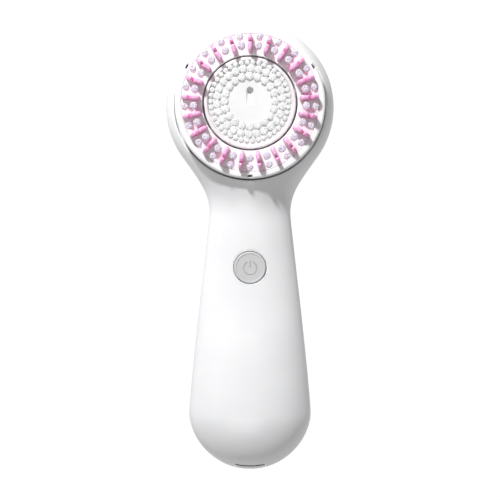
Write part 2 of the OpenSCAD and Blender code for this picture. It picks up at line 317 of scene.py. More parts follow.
@dataclass(frozen=True)
class MouldedPlastic(Finish):
    """Injection-moulded plastic: faint orange peel, handling mottle, a clear gloss on top."""

    colour: tuple[float, float, float] = (0.90, 0.90, 0.91)
    tint: tuple[float, float, float] = (0.87, 0.87, 0.885)
    roughness: float = 0.34
    coat: float = 0.25
    peel_mm: float = 1.6
    peel_depth: float = 0.006
    glow: float = 0.0

    def shade(self, graph: Graph) -> bpy.types.Material:
        """Mottle drives colour, roughness and coat; two scales of peel drive the bump.

        Args:
            graph: an empty graph.

        Returns:
            The material.
        """
        mottle = graph.noise(14.0, 4.0)
        grain = graph.noise(0.35, 2.0)
        peel = graph.noise(self.peel_mm, 2.0)
        wiped = graph.noise(6.0, 5.0, (1, 4, 1))
        return graph.surface(
            Base_Color=graph.mix(mottle.within(0.3, 0.75), self.colour, self.tint),
            Roughness=self.roughness + 0.10 * (wiped - 0.5) + 0.05 * (grain - 0.5),
            Coat_Weight=self.coat * (1.1 - 0.3 * mottle),
            Coat_Roughness=0.12,
            IOR=1.49,
            Subsurface_Weight=self.glow,
            Subsurface_Radius=(0.0022, 0.002, 0.0019),
            Subsurface_Scale=1.0,
            Normal=graph.bump(grain, 0.0015, graph.bump(peel, self.peel_depth)),
        )


@dataclass(frozen=True)
class SatinPlastic(Finish):
    """Spark-eroded plastic: an even, fine-grained satin."""

    colour: tuple[float, float, float] = (0.62, 0.62, 0.625)
    tint: tuple[float, float, float] = (0.57, 0.57, 0.58)
    roughness: float = 0.45
    grain_mm: float = 0.22

    def shade(self, graph: Graph) -> bpy.types.Material:
        """Fine cells give the eroded grain; slow noise varies tone and sheen.

        Args:
            graph: an empty graph.

        Returns:
            The material.
        """
        tone = graph.noise(5.0, 3.0)
        grain = graph.cells(self.grain_mm)
        return graph.surface(
            Base_Color=graph.mix(tone, self.colour, self.tint),
            Roughness=self.roughness + 0.12 * (tone - 0.5) + 0.08 * grain,
            IOR=1.47,
            Normal=graph.bump(grain, 0.008),
        )


@dataclass(frozen=True)
class SoftRubber(Finish):
    """Silicone rubber: dull, dusty in patches, a little soft to light."""

    colour: tuple[float, float, float] = (0.16, 0.16, 0.17)
    dust: tuple[float, float, float] = (0.24, 0.24, 0.25)
    roughness: float = 0.62

    def shade(self, graph: Graph) -> bpy.types.Material:
        """Patches of dust lighten the colour and dull the sheen.

        Args:
            graph: an empty graph.

        Returns:
            The material.
        """
        dusty = graph.noise(3.0, 4.0).within(0.45, 0.7)
        skin = graph.noise(0.4, 2.0)
        return graph.surface(
            Base_Color=graph.mix(dusty, self.colour, self.dust),
            Roughness=self.roughness + 0.15 * dusty,
            Normal=graph.bump(skin, 0.01),
        )


@dataclass(frozen=True)
class FinSilicone(Finish):
    """Glossy translucent pink silicone, coloured by height: deep in the saddles and roots, partly its own
    deeper tint and partly painted shade, and pale along the crests as painted light.
    """

    # deep: partly the silicone's own deeper tint, partly painted shade at roots and saddles; pale: painted
    # light on the crests
    deep: tuple[float, float, float] = (0.60, 0.08, 0.32)
    middle: tuple[float, float, float] = (0.88, 0.31, 0.59)
    pale: tuple[float, float, float] = (0.93, 0.50, 0.75)
    root_z: float = 30.6
    crest_z: float = 35.4

    def shade(self, graph: Graph) -> bpy.types.Material:
        """Height above the root carries the colour, deep low down as painted shade and pale on the crests as
        painted light; noise breaks it up and ripples the gloss.

        Args:
            graph: an empty graph.

        Returns:
            The material.
        """
        height = (graph.along("Z") - self.root_z) / (self.crest_z - self.root_z)
        cloud = graph.noise(1.2, 3.0)
        share = height + 0.30 * (cloud - 0.5)
        # painted shade low on the fin, painted light high on it
        low = graph.mix(share.within(0.0, 0.55), self.deep, self.middle)
        ripple = graph.noise(0.7, 2.0)
        return graph.surface(
            Base_Color=graph.mix(share.within(0.45, 1.0), low, self.pale),
            Roughness=0.16 + 0.12 * cloud,
            Coat_Weight=0.25 + 0.2 * ripple,
            Coat_Roughness=0.08,
            IOR=1.43,
            Subsurface_Weight=0.45,
            Subsurface_Radius=(0.0016, 0.0007, 0.0012),
            Subsurface_Scale=1.0,
            Normal=graph.bump(ripple, 0.05),
        )


@dataclass(frozen=True)
class BrushFibre(Finish):
    """Nylon fibre: shaded at the root, lit at the tip, each strand a little different."""

    root: tuple[float, float, float] = (0.66, 0.46, 0.52)
    tip: tuple[float, float, float] = (0.70, 0.65, 0.75)
    odd: tuple[float, float, float] = (0.56, 0.50, 0.62)
    root_z: float = 32.6
    tip_z: float = 35.2
    strand_mm: float = 0.45
    softness: float = 0.35
    roughness: float = 0.38

    def shade(self, graph: Graph) -> bpy.types.Material:
        """Height carries root to tip; upright-stretched noise sets strands apart.

        Args:
            graph: an empty graph.

        Returns:
            The material.
        """
        height = ((graph.along("Z") - self.root_z) / (self.tip_z - self.root_z)).within(0.0, 1.0)
        strands = graph.noise(self.strand_mm, 1.0, (1, 1, 12))
        patch = graph.noise(2.5, 2.0)
        body = graph.mix(height, self.root, self.tip)
        return graph.surface(
            Base_Color=graph.mix((strands * 0.7 + patch * 0.3).within(0.45, 0.75) * 0.7, body, self.odd),
            Roughness=self.roughness + 0.2 * (strands - 0.5),
            IOR=1.53,
            Subsurface_Weight=self.softness,
            Subsurface_Radius=(0.0012, 0.0011, 0.0012),
            Subsurface_Scale=1.0,
            Normal=graph.bump(strands, 0.02),
        )


@dataclass(frozen=True)
class MachinedMetal(Finish):
    """Metal with a direction: turned, drawn, laminated or sintered."""

    colour: tuple[float, float, float] = (0.70, 0.70, 0.72)
    shadow: tuple[float, float, float] = (0.50, 0.50, 0.53)
    roughness: float = 0.28
    stretch: tuple[float, float, float] = (1, 1, 8)
    layer_mm: float = 0.0
    depth_mm: float = 0.004

    def shade(self, graph: Graph) -> bpy.types.Material:
        """Stretched noise makes the tool marks; layer_mm above 0 adds stacked sheets along Z.

        Args:
            graph: an empty graph.

        Returns:
            The material.
        """
        marks = graph.noise(0.5, 3.0, self.stretch)
        stain = graph.noise(4.0, 4.0)
        height = marks
        if self.layer_mm > 0:
            sheets = (graph.along("Z") * (FULL_TURN / self.layer_mm)).wave() * 0.5 + 0.5
            height = marks * 0.3 + sheets
        return graph.surface(
            Base_Color=graph.mix((height * 0.6 + stain * 0.4).within(0.2, 0.8), self.shadow, self.colour),
            Metallic=0.9 + 0.1 * marks,
            Roughness=self.roughness + 0.18 * (stain - 0.5) + 0.10 * (marks - 0.5),
            Normal=graph.bump(height, self.depth_mm),
        )


@dataclass(frozen=True)
class WoundWire(Finish):
    """Enamelled copper wire, wound in close turns across the core."""

    wire_mm: float = 0.32
    colour: tuple[float, float, float] = (0.72, 0.30, 0.10)
    # gap: painted shade in the grooves between turns
    gap: tuple[float, float, float] = (0.22, 0.07, 0.03)

    def shade(self, graph: Graph) -> bpy.types.Material:
        """Turns are a sine along Y, the gap colour between them painted shade; noise makes their lay uneven.

        Args:
            graph: an empty graph.

        Returns:
            The material.
        """
        lay = graph.along("Y") + 0.12 * graph.noise(3.0, 2.0)
        turns = (lay * (FULL_TURN / self.wire_mm)).wave() * 0.5 + 0.5
        varnish = graph.noise(2.0, 3.0)
        return graph.surface(
            Base_Color=graph.mix(turns.within(0.1, 0.7), self.gap, self.colour),
            Metallic=0.55 + 0.4 * turns,
            Roughness=0.22 + 0.2 * varnish,
            Coat_Weight=0.4 * varnish,
            Normal=graph.bump(turns, 0.08),
        )


@dataclass(frozen=True)
class PrintedBoard(Finish):
    """Green solder mask over copper tracks on glass-fibre board."""

    mask: tuple[float, float, float] = (0.02, 0.16, 0.08)
    track: tuple[float, float, float] = (0.05, 0.28, 0.13)
    route_mm: float = 1.8
    weave_turn: float = 9.0

    def shade(self, graph: Graph) -> bpy.types.Material:
        """Cell borders stand for routed tracks, with the weave as a fine bump.

        Args:
            graph: an empty graph.

        Returns:
            The material.
        """
        routes = graph.cells(self.route_mm, "DISTANCE_TO_EDGE").within(0.06, 0.12)
        across, ahead = (graph.along(axis) * self.weave_turn for axis in "XY")
        weave = across.wave() * ahead.wave() * 0.5 + 0.5
        return graph.surface(
            Base_Color=graph.mix(routes, self.track, self.mask),
            Roughness=0.28 + 0.14 * weave,
            Coat_Weight=0.5 + 0.2 * (1.0 - routes),
            Normal=graph.bump(weave, 0.004, graph.bump(1.0 - routes, 0.035)),
        )


@dataclass(frozen=True)
class CellSleeve(Finish):
    """Heat-shrunk sleeve with plain end bands over a round cell."""

    colour: tuple[float, float, float] = (0.10, 0.24, 0.42)
    band: tuple[float, float, float] = (0.55, 0.57, 0.60)
    low_y: float = -65.2
    high_y: float = -16.8
    edge_mm: float = 0.4

    def shade(self, graph: Graph) -> bpy.types.Material:
        """Bands at both ends by place along Y; shrink wrinkles across the sleeve.

        Args:
            graph: an empty graph.

        Returns:
            The material.
        """
        y = graph.along("Y")
        starts = y.within(self.low_y, self.low_y + self.edge_mm)
        sleeve = starts * (1.0 - y.within(self.high_y - self.edge_mm, self.high_y))
        wrinkles = graph.noise(1.4, 4.0, (1, 5, 1))
        return graph.surface(
            Base_Color=graph.mix(sleeve, self.band, self.colour),
            Metallic=0.8 * (1.0 - sleeve),
            Roughness=0.25 + 0.15 * wrinkles,
            Coat_Weight=0.3 * sleeve,
            Normal=graph.bump(wrinkles, 0.03),
        )


@dataclass(frozen=True)
class StudioFloor(Finish):
    """A pale matt floor that glows a little, so that shadows on it stay faint."""

    colour: tuple[float, float, float] = (0.20, 0.20, 0.20)
    tint: tuple[float, float, float] = (0.22, 0.22, 0.22)
    glow: float = 0.55
    seen: float = 1.06
    share_seen: float = 0.9

    def shade(self, graph: Graph) -> bpy.types.Material:
        """A matt, faintly mottled sheet; the camera sees it mostly as bright paper, the object as dimmer.

        Args:
            graph: an empty graph.

        Returns:
            The material.
        """
        tone = graph.noise(60.0, 2.0)
        sheet = graph.node("ShaderNodeBsdfPrincipled", {}, {
            "Base Color": graph.mix(tone, self.colour, self.tint),
            "Roughness": 0.9,
            "Emission Color": (1.0, 1.0, 1.0, 1.0),
            "Emission Strength": self.glow})
        paper = graph.node("ShaderNodeEmission", {}, {"Strength": self.seen})
        camera_ray = Signal(graph, graph.node("ShaderNodeLightPath").outputs["Is Camera Ray"])
        both = graph.node("ShaderNodeMixShader", {}, {
            0: camera_ray * self.share_seen, 1: sheet.outputs[0], 2: paper.outputs[0]})
        graph.tree.links.new(both.outputs[0], graph.output.inputs["Surface"])
        return graph.material


class Finishes(enum.Enum):
    """The finishes of this object, by what they are used for."""

    SHELL = MouldedPlastic("white_shell_gloss", glow=0.15)
    RING = MouldedPlastic("white_ring_gloss", colour=(0.93, 0.93, 0.935), tint=(0.91, 0.91, 0.92), glow=0.2)
    # The plate is greyer than the ring: painted shade, in place of the shadow the inner tufts would cast but
    # do not.
    BRUSH_PLATE = MouldedPlastic(
        "brush_plate_white",
        colour=(0.81, 0.81, 0.81),
        tint=(0.77, 0.77, 0.775),
        roughness=0.45,
        coat=0.1,
        glow=0.3,
    )
    BUTTON = SatinPlastic("grey_button_satin")
    BUTTON_MARK = SatinPlastic("button_mark_satin", colour=(0.50, 0.50, 0.51), tint=(0.46, 0.46, 0.47))
    INNER_PLASTIC = SatinPlastic("inner_plastic_matt", colour=(0.72, 0.71, 0.69), tint=(0.66, 0.65, 0.63))
    BLACK_PLASTIC = SatinPlastic("black_plastic_matt", colour=(0.03, 0.03, 0.033), tint=(0.05, 0.05, 0.055))
    RUBBER = SoftRubber("grey_rubber_dull")
    SEAL = SoftRubber("pale_seal_rubber", colour=(0.50, 0.50, 0.51), dust=(0.56, 0.56, 0.57))
    # Near-black rubber for the port's plug and seal: painted shade for the thumbnail slit and the gap round
    # the cover.
    SHADE_DARK_RUBBER = SoftRubber("plug_rubber_painted_shade", (0.02, 0.02, 0.022), (0.035, 0.035, 0.04), 0.8)
    FIN = FinSilicone("pink_fin_silicone")
    PEARL = BrushFibre("pearl_fibre_nylon")
    WHITE_FIBRE = BrushFibre(
        "white_fibre_nylon",
        root=(0.33, 0.33, 0.32),
        tip=(0.88, 0.88, 0.88),
        odd=(0.76, 0.76, 0.76),
        root_z=33.3,
        tip_z=35.4,
    )
    STEEL = MachinedMetal("bright_steel")
    CORE = MachinedMetal(
        "laminated_core", (0.45, 0.45, 0.48), (0.22, 0.22, 0.24), 0.42, (1, 1, 1), layer_mm=0.5, depth_mm=0.04
    )
    MAGNET = MachinedMetal("nickel_magnet", (0.72, 0.70, 0.68), (0.55, 0.53, 0.52), 0.18, (3, 3, 3))
    BRONZE = MachinedMetal(
        "sintered_bronze", (0.62, 0.42, 0.18), (0.35, 0.22, 0.10), 0.45, (1, 1, 1), depth_mm=0.02
    )
    CAST = MachinedMetal(
        "cast_aluminium", (0.62, 0.62, 0.64), (0.46, 0.46, 0.48), 0.42, (2, 2, 2), depth_mm=0.015
    )
    COIL = WoundWire("wound_copper")
    BOARD = PrintedBoard("circuit_board_green")
    CELL = CellSleeve("cell_sleeve_blue")
    FLOOR = StudioFloor("studio_floor")

    def material(self) -> bpy.types.Material:
        """The finish's material."""
        return self.value.material()


# ---------------------------------------------------------------- mesh helpers


def ease(share: Array) -> Array:
    """Smooth step: 3t^2 - 2t^3 of the share held between 0 and 1."""
    t = np.clip(share, 0.0, 1.0)
    return t * t * (3.0 - 2.0 * t)


def grid_faces(rows: int, columns: int, wrap: bool = False, first: int = 0) -> Array:
    """Quads of a grid of points numbered row by row.

    Args:
        rows: how many rows of points.
        columns: how many points in a row.
        wrap: whether the last column joins the first.
        first: number of the grid's first point.

    Returns:
        Rows of four point numbers.
    """
    across = columns if wrap else columns - 1
    i, j = np.meshgrid(np.arange(rows - 1), np.arange(across), indexing="ij")
    after = (j + 1) % columns
    here, above = i * columns, (i + 1) * columns
    quads = np.stack([here + j, here + after, above + after, above + j], -1)
    return quads.reshape(-1, 4) + first


def mesh_from(name: str, points_mm: Array, faces: Sequence[Array]) -> bpy.types.Object:
    """Makes a mesh object at the origin.

    Args:
        name: the object's name.
        points_mm: points in millimetres, any shape that ends in 3.
        faces: arrays of triangles or quads, which may repeat a point where a pole closes.

    Returns:
        The object, shaded smooth with doubles merged.
    """
    mesh = bpy.data.meshes.new(name)
    corners = [face for block in faces for face in block.tolist()]
    mesh.from_pydata((points_mm.reshape(-1, 3) * MM).tolist(), [], corners)
    piece = bpy.data.objects.new(name, mesh)
    bpy.context.scene.collection.objects.link(piece)
    weld(piece)
    mesh.polygons.foreach_set("use_smooth", np.ones(len(mesh.polygons), bool))
    return piece


def weld(piece: bpy.types.Object, distance_mm: float = 0.002) -> None:
    """Merges doubled points and drops the faces that close to nothing.

    Args:
        piece: the object.
        distance_mm: how close two points have to be to merge.
    """
    work = bmesh.new()
    work.from_mesh(piece.data)
    bmesh.ops.remove_doubles(work, verts=work.verts, dist=distance_mm * MM)
    bmesh.ops.dissolve_degenerate(work, edges=work.edges, dist=distance_mm * MM * 0.5)
    bmesh.ops.recalc_face_normals(work, faces=work.faces)
    work.to_mesh(piece.data)
    work.free()


def revolved(
    name: str,
    profile: Array,
    centre: tuple[float, float],
    steps: int = 128,
    lift: Callable[[Array, Array, Array], Array] | None = None,
) -> bpy.types.Object:
    """A profile turned about an upright axis: (r, z) becomes (r cos a, r sin a, z + lift).

    Args:
        name: the object's name.
        profile: points (r, z); a first or last r of 0 closes on the axis, else the profile is a loop.
        centre: x and y of the axis.
        steps: how many steps round.
        lift: height added at (r, angle, z), as for a slot or a groove.

    Returns:
        The object.
    """
    angle = np.linspace(0.0, 2 * np.pi, steps, endpoint=False)
    r, a = np.meshgrid(profile[:, 0], angle, indexing="ij")
    z = np.repeat(profile[:, 1:2], steps, axis=1)
    if lift is not None:
        z = z + lift(r, a, z)
    points = np.stack([centre[0] + r * np.cos(a), centre[1] + r * np.sin(a), z], -1)
    return mesh_from(name, points, [grid_faces(len(profile), steps, wrap=True)])


def arc_profile(
    centre: tuple[float, float], radius: float, start: float, end: float, steps: int = 8
) -> Array:
    """Points (r, z) along a round edge, from start to end in degrees.

    Args:
        centre: r and z of the arc's centre.
        radius: its radius.
        start: where it starts, 0 being outwards and 90 up.
        end: where it ends.
        steps: how many steps it has.

    Returns:
        The points.
    """
    a = np.radians(np.linspace(start, end, steps + 1))
    return np.stack([centre[0] + radius * np.cos(a), centre[1] + radius * np.sin(a)], -1)


def line_profile(start: tuple[float, float], end: tuple[float, float], steps: int) -> Array:
    """Evenly spaced points (r, z) on a straight stretch, both ends in."""
    return np.linspace(start, end, steps + 1)


def sharpen(piece: bpy.types.Object, degrees: float = 35.0) -> None:
    """Keeps edges steeper than an angle crisp under smooth shading."""
    piece.data.set_sharp_from_angle(angle=np.radians(degrees))


def finished(
    piece: bpy.types.Object, finish: Finishes, body: str, slot: str, *nodes: str
) -> bpy.types.Object:
    """Gives a piece its finish, its body and the CAD nodes it stands for.

    Args:
        piece: the object.
        finish: its finish.
        body: the CAD body that carries it.
        slot: the record's material slot; not used.
        *nodes: the CAD nodes that it replaces.

    Returns:
        The piece.
    """
    piece.data.materials.clear()
    piece.data.materials.append(finish.material())
    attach(piece, body)
    if nodes:
        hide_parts(*nodes)
    LOG.info("%s: %d faces on %s", piece.name, len(piece.data.polygons), body)
    return piece


def superellipse(half: tuple[float, float], power: float, steps: int) -> Array:
    """Outline (half_x c|c|^(power - 1), half_y s|s|^(power - 1)), with c and s the cosine and sine.

    Args:
        half: half sizes along X and Y.
        power: 1 for an ellipse, less for a box.
        steps: how many points.

    Returns:
        The points.
    """
    turn = np.linspace(0, 2 * np.pi, steps, endpoint=False)
    return np.stack([size * np.sign(wave) * np.abs(wave) ** power
                     for size, wave in zip(half, (np.cos(turn), np.sin(turn)))], -1)


def carved(piece: bpy.types.Object, cutters: Sequence[bpy.types.Object]) -> bpy.types.Object:
    """Takes cutters out of a piece and removes them.

    Args:
        piece: a closed mesh.
        cutters: closed meshes, taken out in order.

    Returns:
        The piece, with the cuts in its mesh.
    """
    for cutter in cutters:
        step = piece.modifiers.new("cut", "BOOLEAN")
        step.operation = "DIFFERENCE"
        step.solver = "MANIFOLD"
        step.object = cutter
    bpy.context.view_layer.update()
    shape = bpy.data.meshes.new_from_object(piece.evaluated_get(bpy.context.evaluated_depsgraph_get()))
    piece.modifiers.clear()
    piece.data = shape
    for cutter in cutters:
        bpy.data.objects.remove(cutter)
    return piece


# ------------------------------------------------------------------- the body


@dataclass
class BodySkin:
    """The smooth outer skin: a round head cup melted into a waisted handle.

    Every height b is measured from the parting plane, so b > 0 is the front half.
    """

    head_r: float = 30.8
    head_y: float = 51.0
    part_z: float = 15.0
    wall: float = 2.0
    blend_r: float = 12.0
    bulb_y: float = -61.5
    end_y: float = -82.1
    section_power: float = 2.2
    cup_front: tuple[float, float] = (16.5, 3.0)
    cup_back: tuple[float, float] = (15.4, 2.4)
    gap: float = 0.1
    roof_z: float = 21.5
    halvings: int = 22
    widths: tuple[tuple[float, float], ...] = (
        (-61.5, 22.4), (-56, 22.1), (-40, 20.6), (-20, 18.45), (0, 16.15), (13.4, 14.85), (30, 14.6),
        (60, 14.6))
    tops: tuple[tuple[float, float], ...] = (
        (-61.5, 15), (-40, 13), (-22, 10), (-8, 8.9), (4, 8.9), (30, 9.2), (60, 9.2))
    backs: tuple[tuple[float, float], ...] = (
        (-61.5, 15.4), (-42, 14.9), (-20, 12.8), (0, 11.6), (13.4, 11.3), (30, 12), (60, 12))

    @staticmethod
    def curve(y: Array, controls: Sequence[tuple[float, float]]) -> Array:
        """Cubic through the controls, each slope that of its two neighbours' chord, flat at both ends.

        Args:
            y: places along the handle.
            controls: pairs of a place and a value.

        Returns:
            The values at y.
        """
        ys, vs = np.array(controls, float).T
        slopes = np.zeros_like(vs)
        slopes[1:-1] = (vs[2:] - vs[:-2]) / (ys[2:] - ys[:-2])
        held = np.clip(y, ys[0], ys[-1])
        i = np.clip(np.searchsorted(ys, held, side="right") - 1, 0, len(ys) - 2)
        h = ys[i + 1] - ys[i]
        t = (held - ys[i]) / h
        return ((2 * t**3 - 3 * t**2 + 1) * vs[i] + (t**3 - 2 * t**2 + t) * h * slopes[i]
                + (3 * t**2 - 2 * t**3) * vs[i + 1] + (t**3 - t**2) * h * slopes[i + 1])

    def fade(self, y: Array) -> Array:
        """Share of full size: the handle rounds off at the charging end and dies away inside the head.

        Args:
            y: places along the handle.

        Returns:
            The shares, never quite 0.
        """
        tail = 1 - np.clip((self.bulb_y - y) / (self.bulb_y - self.end_y), 0, 1) ** 1.8
        inside = 1 - np.clip((y - 22) / 26, 0, 1) ** 2
        return np.sqrt(np.clip(np.where(y < 0, tail, inside), 1e-6, None))

    @staticmethod
    def from_section(a: Array, b: Array, half_a: Array, half_b: Array, power: Array) -> Array:
        """Radial distance of (a, b) from the outline |a/half_a|^power + |b/half_b|^power = 1.

        Args:
            a: places across.
            b: heights from the parting plane.
            half_a: half width of the section.
            half_b: half height of the section.
            power: 2 for an ellipse, more for a squarer one.

        Returns:
            The distances, negative inside.
        """
        g = (np.abs(a / half_a) ** power + np.abs(b / half_b) ** power + 1e-9) ** (1 / power)
        return np.hypot(a, b) * (1 - 1 / g)

    def distance(self, x: Array, y: Array, b: Array) -> Array:
        """Distance from the skin, negative inside: the smooth minimum of handle and head cup.

        Args:
            x: places across.
            y: places along the handle.
            b: heights from the parting plane.

        Returns:
            The distances in millimetres.
        """
        front = b > 0
        f = self.fade(y)
        half_b = np.where(front, self.curve(y, self.tops), self.curve(y, self.backs)) * f
        stem = self.from_section(x, b, self.curve(y, self.widths) * f, half_b, self.section_power)
        cup_b = np.where(front, self.cup_front[0], self.cup_back[0])
        cup_n = np.where(front, self.cup_front[1], self.cup_back[1])
        cup = self.from_section(np.hypot(x, y - self.head_y), b, self.head_r, cup_b, cup_n)
        near = np.clip(self.blend_r - np.abs(stem - cup), 0, None)
        return np.minimum(stem, cup) - near**2 / self.blend_r / 4

    def reach(self, y: Array, angle: Array, inset: float) -> Array:
        """Radius at which the ray at an angle in the section at y meets the skin, by halving.

        Args:
            y: places along the handle.
            angle: ray angles in radians, 0 towards +X and a quarter turn towards +Z.
            inset: how far inside the skin to stop.

        Returns:
            The radii.
        """
        low = np.zeros(np.broadcast(y, angle).shape)
        high = np.full_like(low, 34.0)
        for _ in range(self.halvings):
            middle = (low + high) / 2
            inside = self.distance(middle * np.cos(angle), y, middle * np.sin(angle)) < -inset
            low = np.where(inside, middle, low)
            high = np.where(inside, high, middle)
        return (low + high) / 2

    def normal(self, points: Array) -> Array:
        """Outward unit normals of the skin at points (x, y, z), by central differences.

        Args:
            points: points (x, y, z) in an array whose last axis is 3 long.

        Returns:
            The normals, in the same shape.
        """
        step = 0.02
        x, y, b = points[..., 0], points[..., 1], points[..., 2] - self.part_z
        slope = np.stack([
            self.distance(x + step, y, b) - self.distance(x - step, y, b),
            self.distance(x, y + step, b) - self.distance(x, y - step, b),
            self.distance(x, y, b + step) - self.distance(x, y, b - step)], -1)
        return slope / np.maximum(np.linalg.norm(slope, axis=-1, keepdims=True), 1e-9)

    def front_z(self, x: Array, y: Array, inset: float = 0.0) -> Array:
        """Height of the front skin above the table over the plan point (x, y), by halving.

        Args:
            x: places across.
            y: places along the handle.
            inset: how far inside the skin to stop.

        Returns:
            The heights.
        """
        low = np.zeros(np.broadcast(x, y).shape)
        high = np.full_like(low, 20.0)
        for _ in range(HALVINGS):
            middle = (low + high) / 2
            inside = self.distance(x, y, middle) < -inset
            low = np.where(inside, middle, low)
            high = np.where(inside, high, middle)
        return (low + high) / 2 + self.part_z

    def half(self, side: int, inset: float, stations: int, fan: int) -> Array:
        """Grid of points on one half of the skin.

        Args:
            side: 1 for the front half and -1 for the rear.
            inset: how far inside the outer skin.
            stations: sections along the body, closer together at both ends.
            fan: steps round the half section.

        Returns:
            Points of shape (stations + 1, fan + 1, 3).
        """
        top_y = self.head_y + self.head_r
        turn = np.pi * np.arange(stations + 1) / stations
        y = (self.end_y + top_y) / 2 - (top_y - self.end_y - 2 * inset) / 2 * np.cos(turn)
        y, angle = np.meshgrid(y, side * np.pi * np.arange(fan + 1) / fan, indexing="ij")
        r = self.reach(y, angle, inset)
        r[0] = r[-1] = 0.0
        b = r * np.sin(angle)
        if inset > 0:
            b = np.where(y > 17, np.minimum(b, self.roof_z - self.part_z - self.gap), b)
        b = np.maximum(b, self.gap - self.part_z + inset)
        return np.stack([r * np.cos(angle), y, self.part_z + side * self.gap + b], -1)


@dataclass
class Housing:
    """Front and rear shells of the body, with the openings cut through them."""

    skin: BodySkin = field(default_factory=BodySkin)
    stations: int = 230
    fan: int = 64
    pocket_r: float = 27.4
    deck_z: float = 23.5
    hub_r: float = 9.0
    button_y: float = -7.75
    button_r: float = 5.8
    button_gap: float = 0.2
    button_floor: float = 19.0
    well_r: float = 7.5
    well_z: tuple[float, float] = (21.0, 22.3)
    lip_r: float = 0.35
    port_size: tuple[float, float] = (11.1, 12.0)
    port_z: float = 15.5
    port_corner: float = 0.8
    port_gap: float = 0.22
    port_cut: tuple[float, float] = (-78.0, -90.0)
    search_y: float = -70.0
    nail_slit: float = 0.9
    cap_depth: float = 0.2
    plug_back: float = -78.4
    plug_drop: float = 1.6
    seal_wall: float = 1.2
    seal_depth: tuple[float, float] = (0.05, 0.4)
    tongue_half: tuple[float, float] = (3.8, 0.75)
    tongue_z: float = 15.95

    def shell(self, name: str, side: int) -> bpy.types.Object:
        """One shell: outer skin, inner skin and the flat rim that joins them.

        Args:
            name: the object's name.
            side: 1 for the front and -1 for the rear.

        Returns:
            The closed shell.
        """
        rows, columns = self.stations + 1, self.fan + 1
        outer = self.skin.half(side, 0.0, self.stations, self.fan)
        inner = self.skin.half(side, self.skin.wall, self.stations, self.fan)
        count = rows * columns
        walk = np.concatenate([np.arange(rows) * columns, np.arange(rows)[::-1] * columns + self.fan])
        after = np.roll(walk, -1)
        rim = np.stack([walk, after, after + count, walk + count], -1)
        faces = [grid_faces(rows, columns), grid_faces(rows, columns, first=count)[:, ::-1], rim]
        return mesh_from(name, np.concatenate([outer.reshape(-1, 3), inner.reshape(-1, 3)]), faces)

    def round_cutter(self, name: str, centre_y: float, radius: float, floor_z: float) -> bpy.types.Object:
        """A round cutter whose wall rolls over the skin's edge in a small round lip.

        For each direction the lip's centre lies lip_r outside the wall and lip_r under the skin.

        Args:
            name: the object's name.
            centre_y: y of the cutter's axis.
            radius: radius of its wall.
            floor_z: height of its flat bottom.

        Returns:
            The closed cutter.
        """
        steps, bends = 192, 10
        angle = np.linspace(0, 2 * np.pi, steps, endpoint=False)
        lip = self.lip_r
        edge_x, edge_y = (radius + lip) * np.cos(angle), centre_y + (radius + lip) * np.sin(angle)
        edge_z = self.skin.front_z(edge_x, edge_y, lip - 0.02)
        bend = np.radians(np.linspace(180, 35, bends))
        r = np.concatenate([[0.0, radius], radius + lip + lip * np.cos(bend), [radius + 4 * lip, 0.0]])
        above = np.concatenate([lip * np.sin(bend), [6.0, 6.0]])
        z = np.concatenate([np.full((2, steps), floor_z), edge_z[None, :] + above[:, None]])
        z[-1] = z[-2] = edge_z.max() + 6.0
        points = np.stack([r[:, None] * np.cos(angle), centre_y + r[:, None] * np.sin(angle), z], -1)
        return mesh_from(name, points, [grid_faces(len(r), steps, wrap=True)])

    def port_outline(self, grow: float, steps: int = 8, points: int = 192) -> Array:
        """Points (x, z) round the charging port: a rectangle with round corners, grown all round.

        They are spread evenly over the length, so that the straight sides follow the skin as well.

        Args:
            grow: how far outside the cover's outline.
            steps: steps in each corner before the even spread.
            points: how many points are given back.

        Returns:
            The points.
        """
        half = np.array(self.port_size) / 2 + grow
        corner = max(self.port_corner + grow, 0.3)
        reach = half - corner
        turns = [arc_profile((sx * reach[0], sz * reach[1]), corner, start, start + 90, steps)
                 for sx, sz, start in ((1, 1, 0), (-1, 1, 90), (-1, -1, 180), (1, -1, 270))]
        loop = np.concatenate([*turns, turns[0][:1]])
        run = np.concatenate([[0.0], np.cumsum(np.linalg.norm(np.diff(loop, axis=0), axis=1))])
        at = np.linspace(0.0, run[-1], points, endpoint=False)
        return np.stack([np.interp(at, run, loop[:, 0]), np.interp(at, run, loop[:, 1]) + self.port_z], -1)

    def port_cutter(self, name: str) -> bpy.types.Object:
        """The charging port's outline carried along Y, closed at both ends."""
        near, far = self.port_cut
        rings = [(0.0, near, 0.0), (1.0, near, 0.0), (1.0, far, 0.0), (0.0, far, 0.0)]
        return self.lofted(name, self.port_outline(self.port_gap), rings)

    def smooth_normals(self, piece: bpy.types.Object, side: int) -> None:
        """Gives corners on the outer skin its exact normals, so that cut edges leave no shading marks.

        Args:
            piece: a carved shell.
            side: 1 for the front and -1 for the rear.
        """
        mesh = piece.data
        mesh.polygons.foreach_set("use_smooth", np.ones(len(mesh.polygons), bool))
        sharpen(piece, 30)
        points = np.empty(len(mesh.vertices) * 3)
        mesh.vertices.foreach_get("co", points)
        points = points.reshape(-1, 3) / MM - [0, 0, side * self.skin.gap]
        corner = np.empty(len(mesh.loops), int)
        mesh.loops.foreach_get("vertex_index", corner)
        normals = np.empty(len(mesh.loops) * 3)
        mesh.corner_normals.foreach_get("vector", normals)
        normals = normals.reshape(-1, 3)
        facing = np.empty(len(mesh.polygons) * 3)
        mesh.polygons.foreach_get("normal", facing)
        sizes = np.empty(len(mesh.polygons), int)
        mesh.polygons.foreach_get("loop_total", sizes)
        facing = np.repeat(facing.reshape(-1, 3), sizes, axis=0)
        exact = self.skin.normal(points)
        off = np.abs(self.skin.distance(points[:, 0], points[:, 1], points[:, 2] - self.skin.part_z))
        on_skin = (off[corner] < 0.03) & ((exact[corner] * facing).sum(-1) > 0.97)
        normals[on_skin] = exact[corner][on_skin]
        mesh.normals_split_custom_set(normals.tolist())

